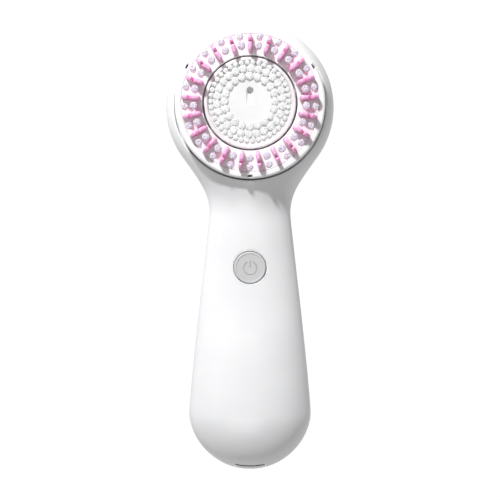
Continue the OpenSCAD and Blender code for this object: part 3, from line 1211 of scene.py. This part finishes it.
    def build(self) -> None:
        """Builds and dresses both shells."""
        head_y = self.skin.head_y
        hub_profile = np.array([[0, 10], [self.hub_r, 10], [self.hub_r, 40], [0, 40.0]])
        hub = revolved("hub_cut", hub_profile, (0, head_y), 96)
        front = carved(self.shell("front_shell", 1), [
            self.round_cutter("pocket_cut", head_y, self.pocket_r, self.deck_z),
            hub,
            self.round_cutter(
                "button_cut", self.button_y, self.button_r + self.button_gap, self.button_floor),
            self.port_cutter("port_cut")])
        self.smooth_normals(front, 1)
        finished(front, Finishes.SHELL, "body", "white_shell", "front_housing")
        rear = carved(self.shell("rear_shell", -1), [self.port_cutter("port_cut")])
        self.smooth_normals(rear, -1)
        finished(rear, Finishes.SHELL, "body", "white_shell", "rear_housing")
        self.button_well()
        self.port_cover()

    def button_well(self) -> None:
        """The short sleeve under the button's hole."""
        inner, outer, (low, high) = self.button_r + self.button_gap, self.well_r, self.well_z
        profile = np.array([[inner, low], [outer, low], [outer, high], [inner, high], [inner, low]])
        piece = revolved("button_well", profile, (0, self.button_y), 96)
        sharpen(piece)
        finished(piece, Finishes.SHELL, "body", "white_shell")

    def skin_y(self, plan: Array) -> Array:
        """Place along Y where the skin at the charging end lies over points (x, z), by halving.

        Args:
            plan: points of shape (..., 2).

        Returns:
            The places, of shape (...).
        """
        x, z = plan[..., 0], plan[..., 1]
        low = np.full(x.shape, self.skin.end_y)
        high = np.full(x.shape, self.search_y)
        for _ in range(HALVINGS):
            y = (low + high) / 2
            outside = self.skin.distance(x, y, z - self.skin.part_z) > 0
            low = np.where(outside, y, low)
            high = np.where(outside, high, y)
        return (low + high) / 2

    def lofted(self, name: str, outline: Array, rings: Sequence[PortRing]) -> bpy.types.Object:
        """A closed piece carried along the port's outline.

        Each ring is the outline shrunk to a share about the port's middle. It lies at a fixed y, or where
        that is None, at the skin.

        Args:
            name: the object's name.
            outline: points (x, z).
            rings: share, fixed y or None, and how far in from there, for each ring.

        Returns:
            The object.
        """
        middle = np.array([0.0, self.port_z])
        plans = [middle + share * (outline - middle) for share, _, _ in rings]
        places = [np.full(len(outline), at) if at is not None else self.skin_y(plan)
                  for plan, (_, at, _) in zip(plans, rings)]
        points = np.stack([np.insert(plan, 1, place + inward, axis=1)
                           for plan, place, (_, _, inward) in zip(plans, places, rings)])
        return mesh_from(name, points, [grid_faces(len(rings), len(outline), wrap=True)])

    def port_cover(self) -> None:
        """The port's cover: a white cap that follows the skin, on a near-black rubber plug with a seal
        behind, both near-black as painted shade.

        The cap's upper edge stops short of the opening, which leaves a slit for a thumbnail.
        """
        outline = self.port_outline(0.0)
        outline[:, 1] = np.minimum(outline[:, 1], self.port_z + self.port_size[1] / 2 - self.nail_slit)
        back = [(share, None, self.cap_depth) for share in (0.0, 0.5, 1.0)]
        edge = [(1.0, None, 0.14), (0.995, None, 0.05), (0.985, None, 0.015), (0.97, None, 0.0)]
        face = [(share, None, 0.0) for share in np.linspace(0.9, 0.0, 10)]
        cap = self.lofted("charging_cover", outline, back + edge + face)
        sharpen(cap, 40)
        finished(cap, Finishes.RING, "cover", "white_shell", "port_cover")
        # The plug's near-black, seen through the slit, is painted shade.
        plug_rings = [(0.0, self.plug_back, 0.0), (1.0, self.plug_back, 0.0)]
        plug_rings += [(share, None, self.cap_depth) for share in (1.0, 0.66, 0.33, 0.0)]
        outline[:, 1] = np.minimum(outline[:, 1], outline[:, 1].max() - self.plug_drop)
        plug = self.lofted("cover_plug", outline, plug_rings)
        sharpen(plug, 40)
        finished(plug, Finishes.SHADE_DARK_RUBBER, "cover", "grey_rubber")
        self.port_seal()
        self.cover_tongue()

    def port_seal(self) -> None:
        """A thin rubber frame inside the opening: the port's outline, grown and shrunk, carried along Y."""
        outer, inner = self.port_outline(self.port_gap - 0.03), self.port_outline(-self.seal_wall)
        near, far = (self.plug_back + depth for depth in self.seal_depth)
        loop = [(outer, near), (outer, far), (inner, far), (inner, near), (outer, near)]
        points = np.stack([np.insert(outline, 1, y, axis=1) for outline, y in loop])
        seal = mesh_from("port_seal", points, [grid_faces(len(loop), len(outer), wrap=True)])
        sharpen(seal, 40)
        # Near-black here is painted shade in the gap round the cover.
        finished(seal, Finishes.SHADE_DARK_RUBBER, "body", "grey_rubber")

    def cover_tongue(self) -> None:
        """The tongue behind the cover, a slab of superellipse section carried along Y."""
        section = superellipse(self.tongue_half, 0.35, 48)
        rings = [(0.0, -78.45), (1.0, -78.45), (1.0, -77.0), (0.93, -76.9), (0.0, -76.9)]
        points = np.stack([np.insert(share * section + [0.0, self.tongue_z], 1, y, axis=1)
                           for share, y in rings])
        tongue = mesh_from("cover_tongue", points, [grid_faces(len(rings), len(section), wrap=True)])
        sharpen(tongue, 40)
        finished(tongue, Finishes.RUBBER, "cover", "white_shell")


@dataclass
class PowerButton:
    """Round thumb button: a raised rim round a shallow dish, with the power mark on it."""

    centre_y: float = -7.75
    radius: float = 5.8
    top_z: float = 24.1
    base_z: float = 20.0
    rim_width: float = 0.7
    dish_depth: float = 0.16
    mark_r: float = 2.35
    mark_half: float = 0.29
    mark_gap: float = 22.0
    mark_height: float = 0.12
    bar_length: float = 2.75
    stem_r: float = 1.6
    stem_z: tuple[float, float] = (19.35, 20.1)
    stem_edge: float = 0.25
    seal_r: tuple[float, float] = (5.87, 5.98)
    seal_z: tuple[float, float] = (21.3, 23.1)

    def profile(self) -> Array:
        """Profile from under the cap, up its wall, over the rim and across the dish to the axis."""
        dish = self.top_z - self.dish_depth
        inner = self.radius - self.rim_width
        sag = np.linspace(1, 0, 8)
        return np.concatenate([
            [[0, self.base_z], [self.radius + 1, self.base_z], [self.radius + 1, self.base_z + 0.8],
             [self.radius, self.base_z + 0.8]],
            arc_profile((self.radius - 0.45, self.top_z - 0.45), 0.45, 0, 90),
            arc_profile((inner + 0.05, self.top_z - 0.3), 0.3, 90, 150, 5),
            np.stack([(inner - 0.5) * sag, dish - 0.05 * (1 - sag**2)], -1)])

    def mark(self) -> bpy.types.Object:
        """The power mark: a ring open at the top and an upright bar, both half-round in section."""
        opening = np.radians(self.mark_gap)
        turn = np.linspace(np.pi / 2 + opening, 5 * np.pi / 2 - opening, 96)
        path = np.stack([self.mark_r * np.cos(turn), self.mark_r * np.sin(turn)], -1)
        bar = line_profile((0.0, 0.0), (0.0, self.bar_length), 23)
        blocks, faces, first = [], [], 0
        for line in (path, bar):
            points = self.ridge(line)
            faces.append(grid_faces(points.shape[0], points.shape[1], first=first))
            blocks.append(points.reshape(-1, 3))
            first += len(blocks[-1])
        return mesh_from("power_mark", np.concatenate(blocks), faces)

    def ridge(self, line: Array) -> Array:
        """A low round ridge along a plan line: w sin(a) sideways and h cos(a) up, tapered at the ends.

        Args:
            line: points (x, y) from the button's centre.

        Returns:
            Grid of points (x, y, z).
        """
        ahead = np.gradient(line, axis=0)
        ahead /= np.linalg.norm(ahead, axis=1, keepdims=True)
        side = np.stack([-ahead[:, 1], ahead[:, 0]], -1)
        run = np.linspace(0, 1, len(line)) * len(line)
        swell = np.sqrt(np.clip(np.minimum(run, len(line) - run) / 2.0, 0, 1))[:, None]
        a = np.linspace(-np.pi / 2, np.pi / 2, 9)
        plan = line[:, None] + side[:, None] * (self.mark_half * np.sin(a) * swell)[..., None]
        z = self.top_z - self.dish_depth - 0.08 + (self.mark_height + 0.06) * np.cos(a) * swell
        return np.stack([plan[..., 0], plan[..., 1] + self.centre_y, z], -1)

    def build(self) -> None:
        """Builds the cap, its stem and the mark."""
        cap = revolved("button_cap", self.profile(), (0, self.centre_y), 160)
        sharpen(cap, 50)
        finished(cap, Finishes.BUTTON, "button", "grey_button", "power_button")
        low, high = self.stem_z
        stem_profile = np.array([[0, low], [self.stem_r - self.stem_edge, low],
                                 [self.stem_r, low + self.stem_edge], [self.stem_r, high], [0, high]])
        stem = revolved("button_stem", stem_profile, (0, self.centre_y), 48)
        sharpen(stem)
        finished(stem, Finishes.BUTTON, "button", "grey_button")
        finished(self.mark(), Finishes.BUTTON_MARK, "button", "button_mark", "power_symbol")
        (inner, outer), (low, high) = self.seal_r, self.seal_z
        lip = np.array([[inner, low], [outer, low], [outer, high - 0.1], [outer - 0.03, high],
                        [inner + 0.03, high], [inner, high - 0.1], [inner, low]])
        seal = revolved("button_lip_seal", lip, (0, self.centre_y), 128)
        sharpen(seal, 50)
        finished(seal, Finishes.SEAL, "body", "grey_rubber", "button_seal")


# -------------------------------------------------------------- the brush head


@dataclass
class FixedRing:
    """The brush head's white ring with three small slots in its front face, and the plate inside it."""

    centre_y: float = 51.0
    outer_r: float = 26.9
    inner_r: float = 24.6
    low_z: float = 24.6
    top_z: float = 31.0
    edge_r: float = 0.9
    inner_edge_r: float = 0.35
    flange_r: float = 20.3
    flange_z: tuple[float, float] = (25.6, 26.35)
    base_z: float = 30.9
    slot_r: float = 26.0
    slot_size: tuple[float, float] = (1.75, 0.75)
    slot_depth: float = 1.5
    slot_blend: float = 0.12
    shade_pad_half: tuple[float, float] = (0.46, 1.0)
    slot_angles: tuple[float, ...] = (30.0, 150.0, 270.0)

    def profile(self) -> Array:
        """Loop of (r, z): flange, outer wall, round front edge, closely stepped face, round inner edge."""
        edge, inner, top = self.edge_r, self.inner_edge_r, self.top_z
        flange_r, (flange_low, flange_high) = self.flange_r, self.flange_z
        return np.concatenate([
            [[flange_r, flange_low], [self.inner_r + 0.1, flange_low], [self.inner_r + 0.1, self.low_z],
             [self.outer_r - 0.2, self.low_z], [self.outer_r, self.low_z + 0.2]],
            arc_profile((self.outer_r - edge, top - edge), edge, 0, 90, 10),
            line_profile((self.outer_r - edge - 0.03, top), (self.inner_r + inner + 0.03, top), 24),
            arc_profile((self.inner_r + inner, top - inner), inner, 90, 180, 6),
            [[self.inner_r, flange_high], [flange_r, flange_high], [flange_r, flange_low]]])

    def slot(self, r: Array, angle: Array, z: Array) -> Array:
        """Depth of the slots: smooth-sided boxes of slot_size round each slot's angle, in the face only.

        Args:
            r: distances from the head's axis.
            angle: directions.
            z: heights of the profile; only the face is cut.

        Returns:
            The added heights, 0 or less.
        """
        near = np.full_like(r, np.inf)
        for place in np.radians(self.slot_angles):
            turn = (angle - place + np.pi) % (2 * np.pi) - np.pi
            near = np.minimum(near, np.abs(turn) * self.slot_r)
        long = 1 - ease((near - self.slot_size[0] / 2) / self.slot_blend + 0.5)
        wide = 1 - ease((np.abs(r - self.slot_r) - self.slot_size[1] / 2) / self.slot_blend + 0.5)
        return np.where(z > self.top_z - 0.6, -self.slot_depth * long * wide, 0.0)

    def build(self) -> None:
        """Builds the ring, its plate and the dark pads of painted shade in its slots."""
        ring = revolved("fixed_ring", self.profile(), (0, self.centre_y), 900, self.slot)
        sharpen(ring, 40)
        finished(ring, Finishes.RING, "brush_head", "white_ring", "outer_ring")
        self.base()
        self.slot_shade_pads()

    def base(self) -> None:
        """The plate the outer tufts stand in, flush with the ring, its inner edge a small round."""
        profile = np.concatenate([
            [[17.0, 26.4], [self.inner_r - 0.05, 26.4], [self.inner_r - 0.05, self.base_z - 0.1],
             [self.inner_r - 0.15, self.base_z]],
            line_profile((24.0, self.base_z), (17.6, self.base_z), 4),
            arc_profile((17.3, self.base_z - 0.3), 0.3, 90, 180, 5),
            [[17.0, 26.4]]])
        base = revolved("fibre_base", profile, (0, self.centre_y), 256)
        sharpen(base, 40)
        finished(base, Finishes.RING, "brush_head", "white_ring", "outer_bristle_base")

    def slot_shade_pads(self) -> None:
        """Small dark pads on the floors of the slots, painted shade for their depth: round-cornered slabs on
        a superellipse outline.
        """
        x, y = superellipse(self.shade_pad_half, 0.4, 40).T
        floor_z = self.top_z - self.slot_depth
        rings = [(0.0, floor_z - 0.2), (1.0, floor_z - 0.2), (1.0, floor_z + 0.08), (0.9, floor_z + 0.12),
                 (0.0, floor_z + 0.12)]
        blocks, faces = [], []
        for number, place in enumerate(np.radians(self.slot_angles)):
            plan = np.stack([(self.slot_r + x) * np.cos(place) - y * np.sin(place),
                             (self.slot_r + x) * np.sin(place) + y * np.cos(place)], -1)
            middle = self.slot_r * np.array([np.cos(place), np.sin(place)])
            pad = np.stack([np.insert(middle + share * (plan - middle), 2, z, axis=1) for share, z in rings])
            faces.append(grid_faces(len(rings), len(plan), wrap=True, first=number * len(rings) * len(plan)))
            blocks.append(pad.reshape(-1, 3) + [0, self.centre_y, 0])
        pads = mesh_from("slot_shade_pads", np.concatenate(blocks), faces)
        sharpen(pads, 40)
        # Black plastic here is painted shade on the slot floors.
        finished(pads, Finishes.BLACK_PLASTIC, "brush_head", "black_plastic")


@dataclass
class Fins:
    """Soft pink fins that stand like spokes, each with two crests and a saddle between them."""

    centre_y: float = 51.0
    count: int = 21
    inner_r: float = 17.5
    outer_r: float = 24.5
    half_width: float = 0.86
    root_z: float = 29.2
    crest_z: float = 35.4
    saddle_at: float = 0.58
    saddle_width: float = 0.065
    saddle_drop: float = 2.4
    outer_drop: float = 0.9
    fall_length: float = 0.42
    taper: float = 0.22
    side_power: float = 0.32
    top_power: float = 0.36
    end_height: float = 0.72

    def crest(self, share: Array) -> Array:
        """Height of the crest line from the inner end (0) to the outer end (1).

        Two round humps: the crest less a Gaussian saddle, less a fall towards the outer end.
        """
        saddle = self.saddle_drop * np.exp(-(((share - self.saddle_at) / self.saddle_width) ** 2))
        fall = self.outer_drop * ease((share - self.saddle_at) / self.fall_length)
        return self.crest_z - saddle - fall

    def grid(self) -> Array:
        """One fin on the +X spoke.

        Along the fin the half width is w (1 - |2s - 1|^5)^(1/2); across it an arch of sine and cosine powers
        rises from the root to the crest.

        Returns:
            Grid of points (radius, side, z).
        """
        share = (1 - np.cos(np.linspace(0, np.pi, 45))) / 2
        arch = np.linspace(0, np.pi, 23)
        s, a = np.meshgrid(share, arch, indexing="ij")
        end = np.clip(1 - np.abs(2 * s - 1) ** 5, 0, None) ** 0.5
        width = self.half_width * end * (1.0 - self.taper * s)
        side = width * np.sign(np.cos(a)) * np.abs(np.cos(a)) ** self.side_power
        rise = (self.crest(s) - self.root_z) * (self.end_height + (1.0 - self.end_height) * end)
        z = self.root_z + rise * np.sin(a) ** self.top_power
        z[0] = z[-1] = self.root_z
        return np.stack([self.inner_r + (self.outer_r - self.inner_r) * s, side, z], -1)

    def build(self) -> None:
        """Places the fins round the head."""
        one = self.grid()
        turn = np.pi / 2 + 2 * np.pi * np.arange(self.count) / self.count
        c, s = np.cos(turn)[:, None, None], np.sin(turn)[:, None, None]
        points = np.stack([one[..., 0] * c - one[..., 1] * s,
                           one[..., 0] * s + one[..., 1] * c + self.centre_y,
                           np.broadcast_to(one[..., 2], (self.count, *one.shape[:2]))], -1)
        rows, columns = one.shape[:2]
        faces = [grid_faces(rows, columns, first=k * rows * columns) for k in range(self.count)]
        fins = mesh_from("pink_fins", points, faces)
        finished(fins, Finishes.FIN, "brush_head", "pink_fibre", "pink_tufts")


@dataclass
class TuftField:
    """Bundles of fibres that stand in rings round the head's axis."""

    name: str
    centre_y: float = 51.0
    root_z: float = 28.0
    tip_z: float = 35.4
    sides: int = 6
    core_sides: int = 18
    seed: int = 7
    jitter: float = 0.15
    lean_mm: float = 0.05
    dome: float = 0.35
    strand_rise: tuple[float, ...] = (0.0, 0.35, 0.7, 0.96, 0.99, 1.0)
    strand_share: tuple[float, ...] = (1.0, 1.0, 1.0, 1.0, 0.75, 0.0)
    core_rise: tuple[float, ...] = (0.0, 0.5, 0.9, 0.97, 1.0, 1.0)

    def strands(
        self, centres: Array, bundle_r: float, count: int, strand_r: float, splay: float, uneven: float
    ) -> Array:
        """Points of every strand of every tuft.

        Strand k of a bundle stands at bundle_r sqrt((k + 1/2) / count), turned by the golden angle. It leans
        outward by splay times that radius at the tip, where its radius closes in two steps.

        Args:
            centres: tuft centres (x, y) from the head's axis.
            bundle_r: radius of a bundle at its root.
            count: strands in a bundle.
            strand_r: radius of a strand.
            splay: share by which a bundle widens at its tip.
            uneven: spread of the strands' heights.

        Returns:
            Points of shape (tufts, strands, rings, sides, 3).
        """
        chance = np.random.default_rng(self.seed)
        k = np.arange(count)
        spin = chance.uniform(0, 2 * np.pi, (len(centres), 1))
        turn = k * GOLDEN_ANGLE + spin
        out = (bundle_r - strand_r) * np.sqrt((k + 0.5) / count)
        foot = np.stack([out * np.cos(turn), out * np.sin(turn)], -1)
        foot = foot + chance.normal(0, strand_r * self.jitter, foot.shape)
        height = self.tip_z - self.root_z - uneven * chance.random((len(centres), count))
        height = height - self.dome * (out / bundle_r) ** 2
        rise = np.array(self.strand_rise)
        thick = strand_r * np.array(self.strand_share)
        lean = foot * splay + chance.normal(0, self.lean_mm, foot.shape)
        bend = (rise**1.6)[None, None, :, None]
        axis = centres[:, None, None] + foot[:, :, None] + lean[:, :, None] * bend
        a = 2 * np.pi * np.arange(self.sides) / self.sides
        around = thick[:, None, None] * np.stack([np.cos(a), np.sin(a)], -1)
        plan = axis[:, :, :, None] + around
        z = self.root_z + height[:, :, None, None] * rise[None, None, :, None]
        z = np.broadcast_to(z, plan.shape[:-1])
        return np.stack([plan[..., 0], plan[..., 1] + self.centre_y, z], -1)

    def cores(self, centres: Array, bundle_r: float, splay: float, drop: float) -> Array:
        """Points of the packed fibres that fill each tuft up to a little below its tips.

        A core is a column of radius R (1 + 0.05 cos(5a + p) + 0.03 cos(3a - 2p)), widened by splay at its
        slightly domed top.

        Args:
            centres: tuft centres (x, y) from the head's axis.
            bundle_r: radius R at the root.
            splay: share by which it widens at its top.
            drop: how far its top lies below the tips.

        Returns:
            Points of shape (tufts, 1, rings, sides, 3).
        """
        chance = np.random.default_rng(self.seed + 1)
        a = 2 * np.pi * np.arange(self.core_sides) / self.core_sides
        phase = chance.uniform(0, 2 * np.pi, (len(centres), 1))
        outline = 1 + 0.05 * np.cos(5 * a + phase) + 0.03 * np.cos(3 * a - 2 * phase)
        rise = np.array(self.core_rise)
        share = np.array([1.0, 1.0 + splay / 2, 1.0 + splay, 1.0 + splay, 0.85, 0.0])
        radius = bundle_r * share[None, :, None] * outline[:, None, :]
        plan = centres[:, None, None] + radius[..., None] * np.stack([np.cos(a), np.sin(a)], -1)
        z = self.root_z + (self.tip_z - drop - self.root_z) * rise
        z = np.broadcast_to(z[None, :, None], plan.shape[:-1])
        return np.stack([plan[..., 0], plan[..., 1] + self.centre_y, z], -1)[:, None]

    def mesh(self, blocks: Sequence[Array]) -> bpy.types.Object:
        """Joins blocks of strands and cores into one mesh.

        Args:
            blocks: arrays of shape (tufts, strands, rings, sides, 3).

        Returns:
            The object.
        """
        faces, first = [], 0
        for block in blocks:
            tubes = block.shape[0] * block.shape[1]
            rings, sides = block.shape[2:4]
            size = rings * sides
            one = grid_faces(rings, sides, wrap=True)
            faces.append((one[None] + (first + size * np.arange(tubes))[:, None, None]).reshape(-1, 4))
            first += tubes * size
        return mesh_from(self.name, np.concatenate([b.reshape(-1, 3) for b in blocks]), faces)


def ring_of(count: int, radius: float, start: float = 0.0) -> Array:
    """Centres (x, y) of count places on a circle, the first at start degrees.

    Args:
        count: how many places.
        radius: the circle's radius.
        start: direction of the first.

    Returns:
        The centres.
    """
    a = np.radians(start) + 2 * np.pi * np.arange(count) / count
    return radius * np.stack([np.cos(a), np.sin(a)], -1)


@dataclass
class PearlTufts:
    """Pale lilac tufts in pairs between the fins: a coarse cluster outside, a finer round one inside."""

    count: int = 21
    outer_r: float = 23.2
    inner_r: float = 20.0

    def build(self) -> None:
        """Builds both rings as one piece, which casts no shadow because real fibres let light through."""
        tufts = TuftField("pearl_fibres", root_z=29.5, tip_z=35.2, seed=11)
        start = 90 + 180 / self.count
        outside = ring_of(self.count, self.outer_r, start)
        inside = ring_of(self.count, self.inner_r, start)
        piece = tufts.mesh([
            tufts.strands(outside, bundle_r=1.2, count=9, strand_r=0.44, splay=0.16, uneven=0.6),
            tufts.strands(inside, bundle_r=1.32, count=12, strand_r=0.42, splay=0.12, uneven=0.35),
            tufts.cores(outside, bundle_r=1.05, splay=0.12, drop=0.75),
            tufts.cores(inside, bundle_r=1.2, splay=0.12, drop=0.5)])
        piece.visible_shadow = False
        finished(piece, Finishes.PEARL, "brush_head", "pearl_fibre", "pearl_tufts")


@dataclass
class InnerBrush:
    """The moving inner brush: a white plate with a raised rim and a keyhole recess, and rings of tufts.

    Each row of tufts is a count, a radius, the radius of a bundle and the angle of the first, in degrees.
    """

    centre_y: float = 51.0
    radius: float = 16.4
    top_z: float = 29.9
    low_z: float = 27.3
    rim_width: float = 1.5
    rim_rise: float = 1.1
    hole_y: float = 4.6
    hole_r: float = 1.15
    hole_depth: float = 2.2
    groove_end: float = -0.8
    groove_depth: float = 0.9
    edge_blend: float = 0.2
    rows: tuple[tuple[int, float, float, float], ...] = (
        (20, 8.9, 1.25, 0.0), (26, 11.65, 1.25, 5.0), (42, 13.85, 0.8, 0.0))
    wide_strands: tuple[int, float] = (20, 0.27)
    narrow_strands: tuple[int, float] = (10, 0.25)

    def plate_height(self, r: Array, angle: Array, z: Array) -> Array:
        """Height added to the flat plate: a rounded rim, less the keyhole's round hole and its groove.

        Every edge is a smooth step. The groove's depth falls in a line from the hole to its far end.

        Args:
            r: distances from the axis.
            angle: directions.
            z: heights of the profile; only those at the front face are raised or lowered.

        Returns:
            The added heights.
        """
        x, y = r * np.cos(angle), r * np.sin(angle)
        across = (r - (self.radius - self.rim_width)) / self.rim_width
        rim = self.rim_rise * ease(across * 4.0) * (1 - 0.25 * ease((across - 0.8) * 5.0))
        hole = 1 - ease((np.hypot(x, y - self.hole_y) - self.hole_r) / self.edge_blend + 0.5)
        side = 1 - ease((np.abs(x) - self.hole_r) / self.edge_blend + 0.5)
        reach = np.clip((y - self.groove_end) / (self.hole_y - self.groove_end), 0, 1)
        groove = side * np.where(y < self.hole_y, reach, 0.0) * self.groove_depth
        return np.where(np.isclose(z, self.top_z), rim - np.maximum(self.hole_depth * hole, groove), 0.0)

    def profile(self) -> Array:
        """Profile from the underside out to the rim and across the face to the axis."""
        face = line_profile((self.radius - 0.12, self.top_z), (0.0, self.top_z), 120)
        return np.concatenate([[[0.0, self.low_z], [self.radius, self.low_z],
                                [self.radius, self.top_z + self.rim_rise - 0.4],
                                [self.radius - 0.04, self.top_z + self.rim_rise - 0.32]], face])

    def build(self) -> None:
        """Builds the plate and its tufts, which cast no shadow because real fibres let light through."""
        plate = revolved("inner_plate", self.profile(), (0, self.centre_y), 360, self.plate_height)
        sharpen(plate, 60)
        finished(plate, Finishes.BRUSH_PLATE, "inner_brush", "white_ring", "inner_bristle_plate")
        tufts = TuftField("inner_fibres", root_z=29.2, tip_z=35.4, seed=3)
        blocks = []
        for count, radius, bundle_r, start in self.rows:
            strands, strand_r = self.wide_strands if bundle_r > 1 else self.narrow_strands
            centres = ring_of(count, radius, start)
            blocks.append(tufts.strands(centres, bundle_r + 0.05, strands, strand_r, splay=0.14, uneven=0.3))
            blocks.append(tufts.cores(centres, bundle_r, splay=0.12, drop=0.42))
        piece = tufts.mesh(blocks)
        piece.visible_shadow = False
        finished(piece, Finishes.WHITE_FIBRE, "inner_brush", "white_fibre", "inner_tufts")


# --------------------------------------------------------------- CAD nodes kept


@dataclass(frozen=True)
class KeptNodes:
    """CAD nodes whose shape is right as it is, each with its finish."""

    finishes: Mapping[str, Finishes] = field(default_factory=lambda: {
        "housing_gasket": Finishes.RUBBER,
        "drive_seal": Finishes.RUBBER,
        "mount_seal": Finishes.RUBBER,
        "tact_switch": Finishes.BLACK_PLASTIC,
        "control_chips": Finishes.BLACK_PLASTIC,
        "battery_cradle": Finishes.BLACK_PLASTIC,
        "charging_socket": Finishes.BLACK_PLASTIC,
        "switch_plunger": Finishes.INNER_PLASTIC,
        "stator_bobbin": Finishes.INNER_PLASTIC,
        "drive_hub": Finishes.INNER_PLASTIC,
        "mount_collar": Finishes.INNER_PLASTIC,
        "inner_carrier": Finishes.INNER_PLASTIC,
        "locking_lugs": Finishes.RING,
        "inner_retaining_ring": Finishes.RING,
        "circuit_board": Finishes.BOARD,
        "battery_cell": Finishes.CELL,
        "drive_coil": Finishes.COIL,
        "stator_core": Finishes.CORE,
        "armature": Finishes.CORE,
        "armature_magnets": Finishes.MAGNET,
        "rear_bearing": Finishes.BRONZE,
        "front_bearing": Finishes.BRONZE,
        "drive_bracket": Finishes.CAST,
        "drive_spindle": Finishes.STEEL,
        "battery_tabs": Finishes.STEEL,
        "board_screws": Finishes.STEEL,
        "stator_screws": Finishes.STEEL,
        "bracket_screws": Finishes.STEEL,
        "collar_screws": Finishes.STEEL,
    })

    def dress(self, nodes: Mapping[str, bpy.types.Object]) -> None:
        """Assigns each finish to its node's material slots.

        Args:
            nodes: the frame's nodes by name.
        """
        for name, finish in self.finishes.items():
            for slot in nodes[name].material_slots:
                slot.material = finish.material()
            LOG.info("%s: kept, %s", name, finish.value.name)


# ------------------------------------------------------------------- the studio


@dataclass
class Studio:
    """Floor, soft light and the camera straight above the bristles."""

    camera_height: float = 425.0
    camera_y: float = -1.37
    lens: float = 79.8
    sensor: float = 36.0
    key_from: tuple[float, float, float] = (-180.0, 410.0, 375.0)
    key_size: float = 32.0
    key_power: float = 3.5
    front_from: tuple[float, float, float] = (-60.0, -260.0, 540.0)
    front_size: float = 300.0
    front_power: float = 0.7
    sky: float = 0.2
    floor_half: float = 700.0

    def area(self, name: str, place: Sequence[float], size_mm: float, power: float) -> None:
        """A square soft light aimed at the middle of the object.

        Args:
            name: the light's name.
            place: where it stands, in millimetres.
            size_mm: its side.
            power: its power in watts.
        """
        light = bpy.data.lights.new(name, "AREA")
        light.size = size_mm * MM
        light.energy = power
        lamp = bpy.data.objects.new(name, light)
        lamp.location = Vector(place) * MM
        lamp.rotation_euler = (-lamp.location).to_track_quat("-Z", "Y").to_euler()
        bpy.context.scene.collection.objects.link(lamp)

    def camera(self) -> None:
        """Places the camera, which looks straight down."""
        scene = bpy.context.scene
        camera = bpy.data.cameras.new("camera")
        camera.lens = self.lens
        camera.sensor_width = self.sensor
        camera.clip_start = 0.01
        eye = bpy.data.objects.new("camera", camera)
        eye.location = (0, self.camera_y * MM, self.camera_height * MM)
        scene.collection.objects.link(eye)
        scene.camera = eye

    def build(self) -> None:
        """Places the camera, the lights, the sky and the floor."""
        self.camera()
        self.area("key_light", self.key_from, self.key_size, self.key_power)
        self.area("front_light", self.front_from, self.front_size, self.front_power)
        scene = bpy.context.scene
        world = bpy.data.worlds.new("studio_sky")
        world.use_nodes = True
        backdrop = world.node_tree.nodes["Background"]
        backdrop.inputs["Color"].default_value = (1.0, 1.0, 1.0, 1.0)
        backdrop.inputs["Strength"].default_value = self.sky
        scene.world = world
        scene.view_settings.view_transform = "Standard"
        half = self.floor_half
        corners = np.array([[-half, -half, 0], [half, -half, 0], [half, half, 0], [-half, half, 0]])
        floor = mesh_from("floor", corners, [np.array([[0, 1, 2, 3]])])
        floor.data.materials.append(Finishes.FLOOR.material())


def main() -> None:
    """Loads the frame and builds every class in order."""
    logging.basicConfig(level=logging.INFO, format="%(message)s")
    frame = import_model()
    Studio().build()
    KeptNodes().dress(frame["nodes"])
    Housing().build()
    PowerButton().build()
    FixedRing().build()
    Fins().build()
    PearlTufts().build()
    InnerBrush().build()


if __name__ == "__main__":
    main()
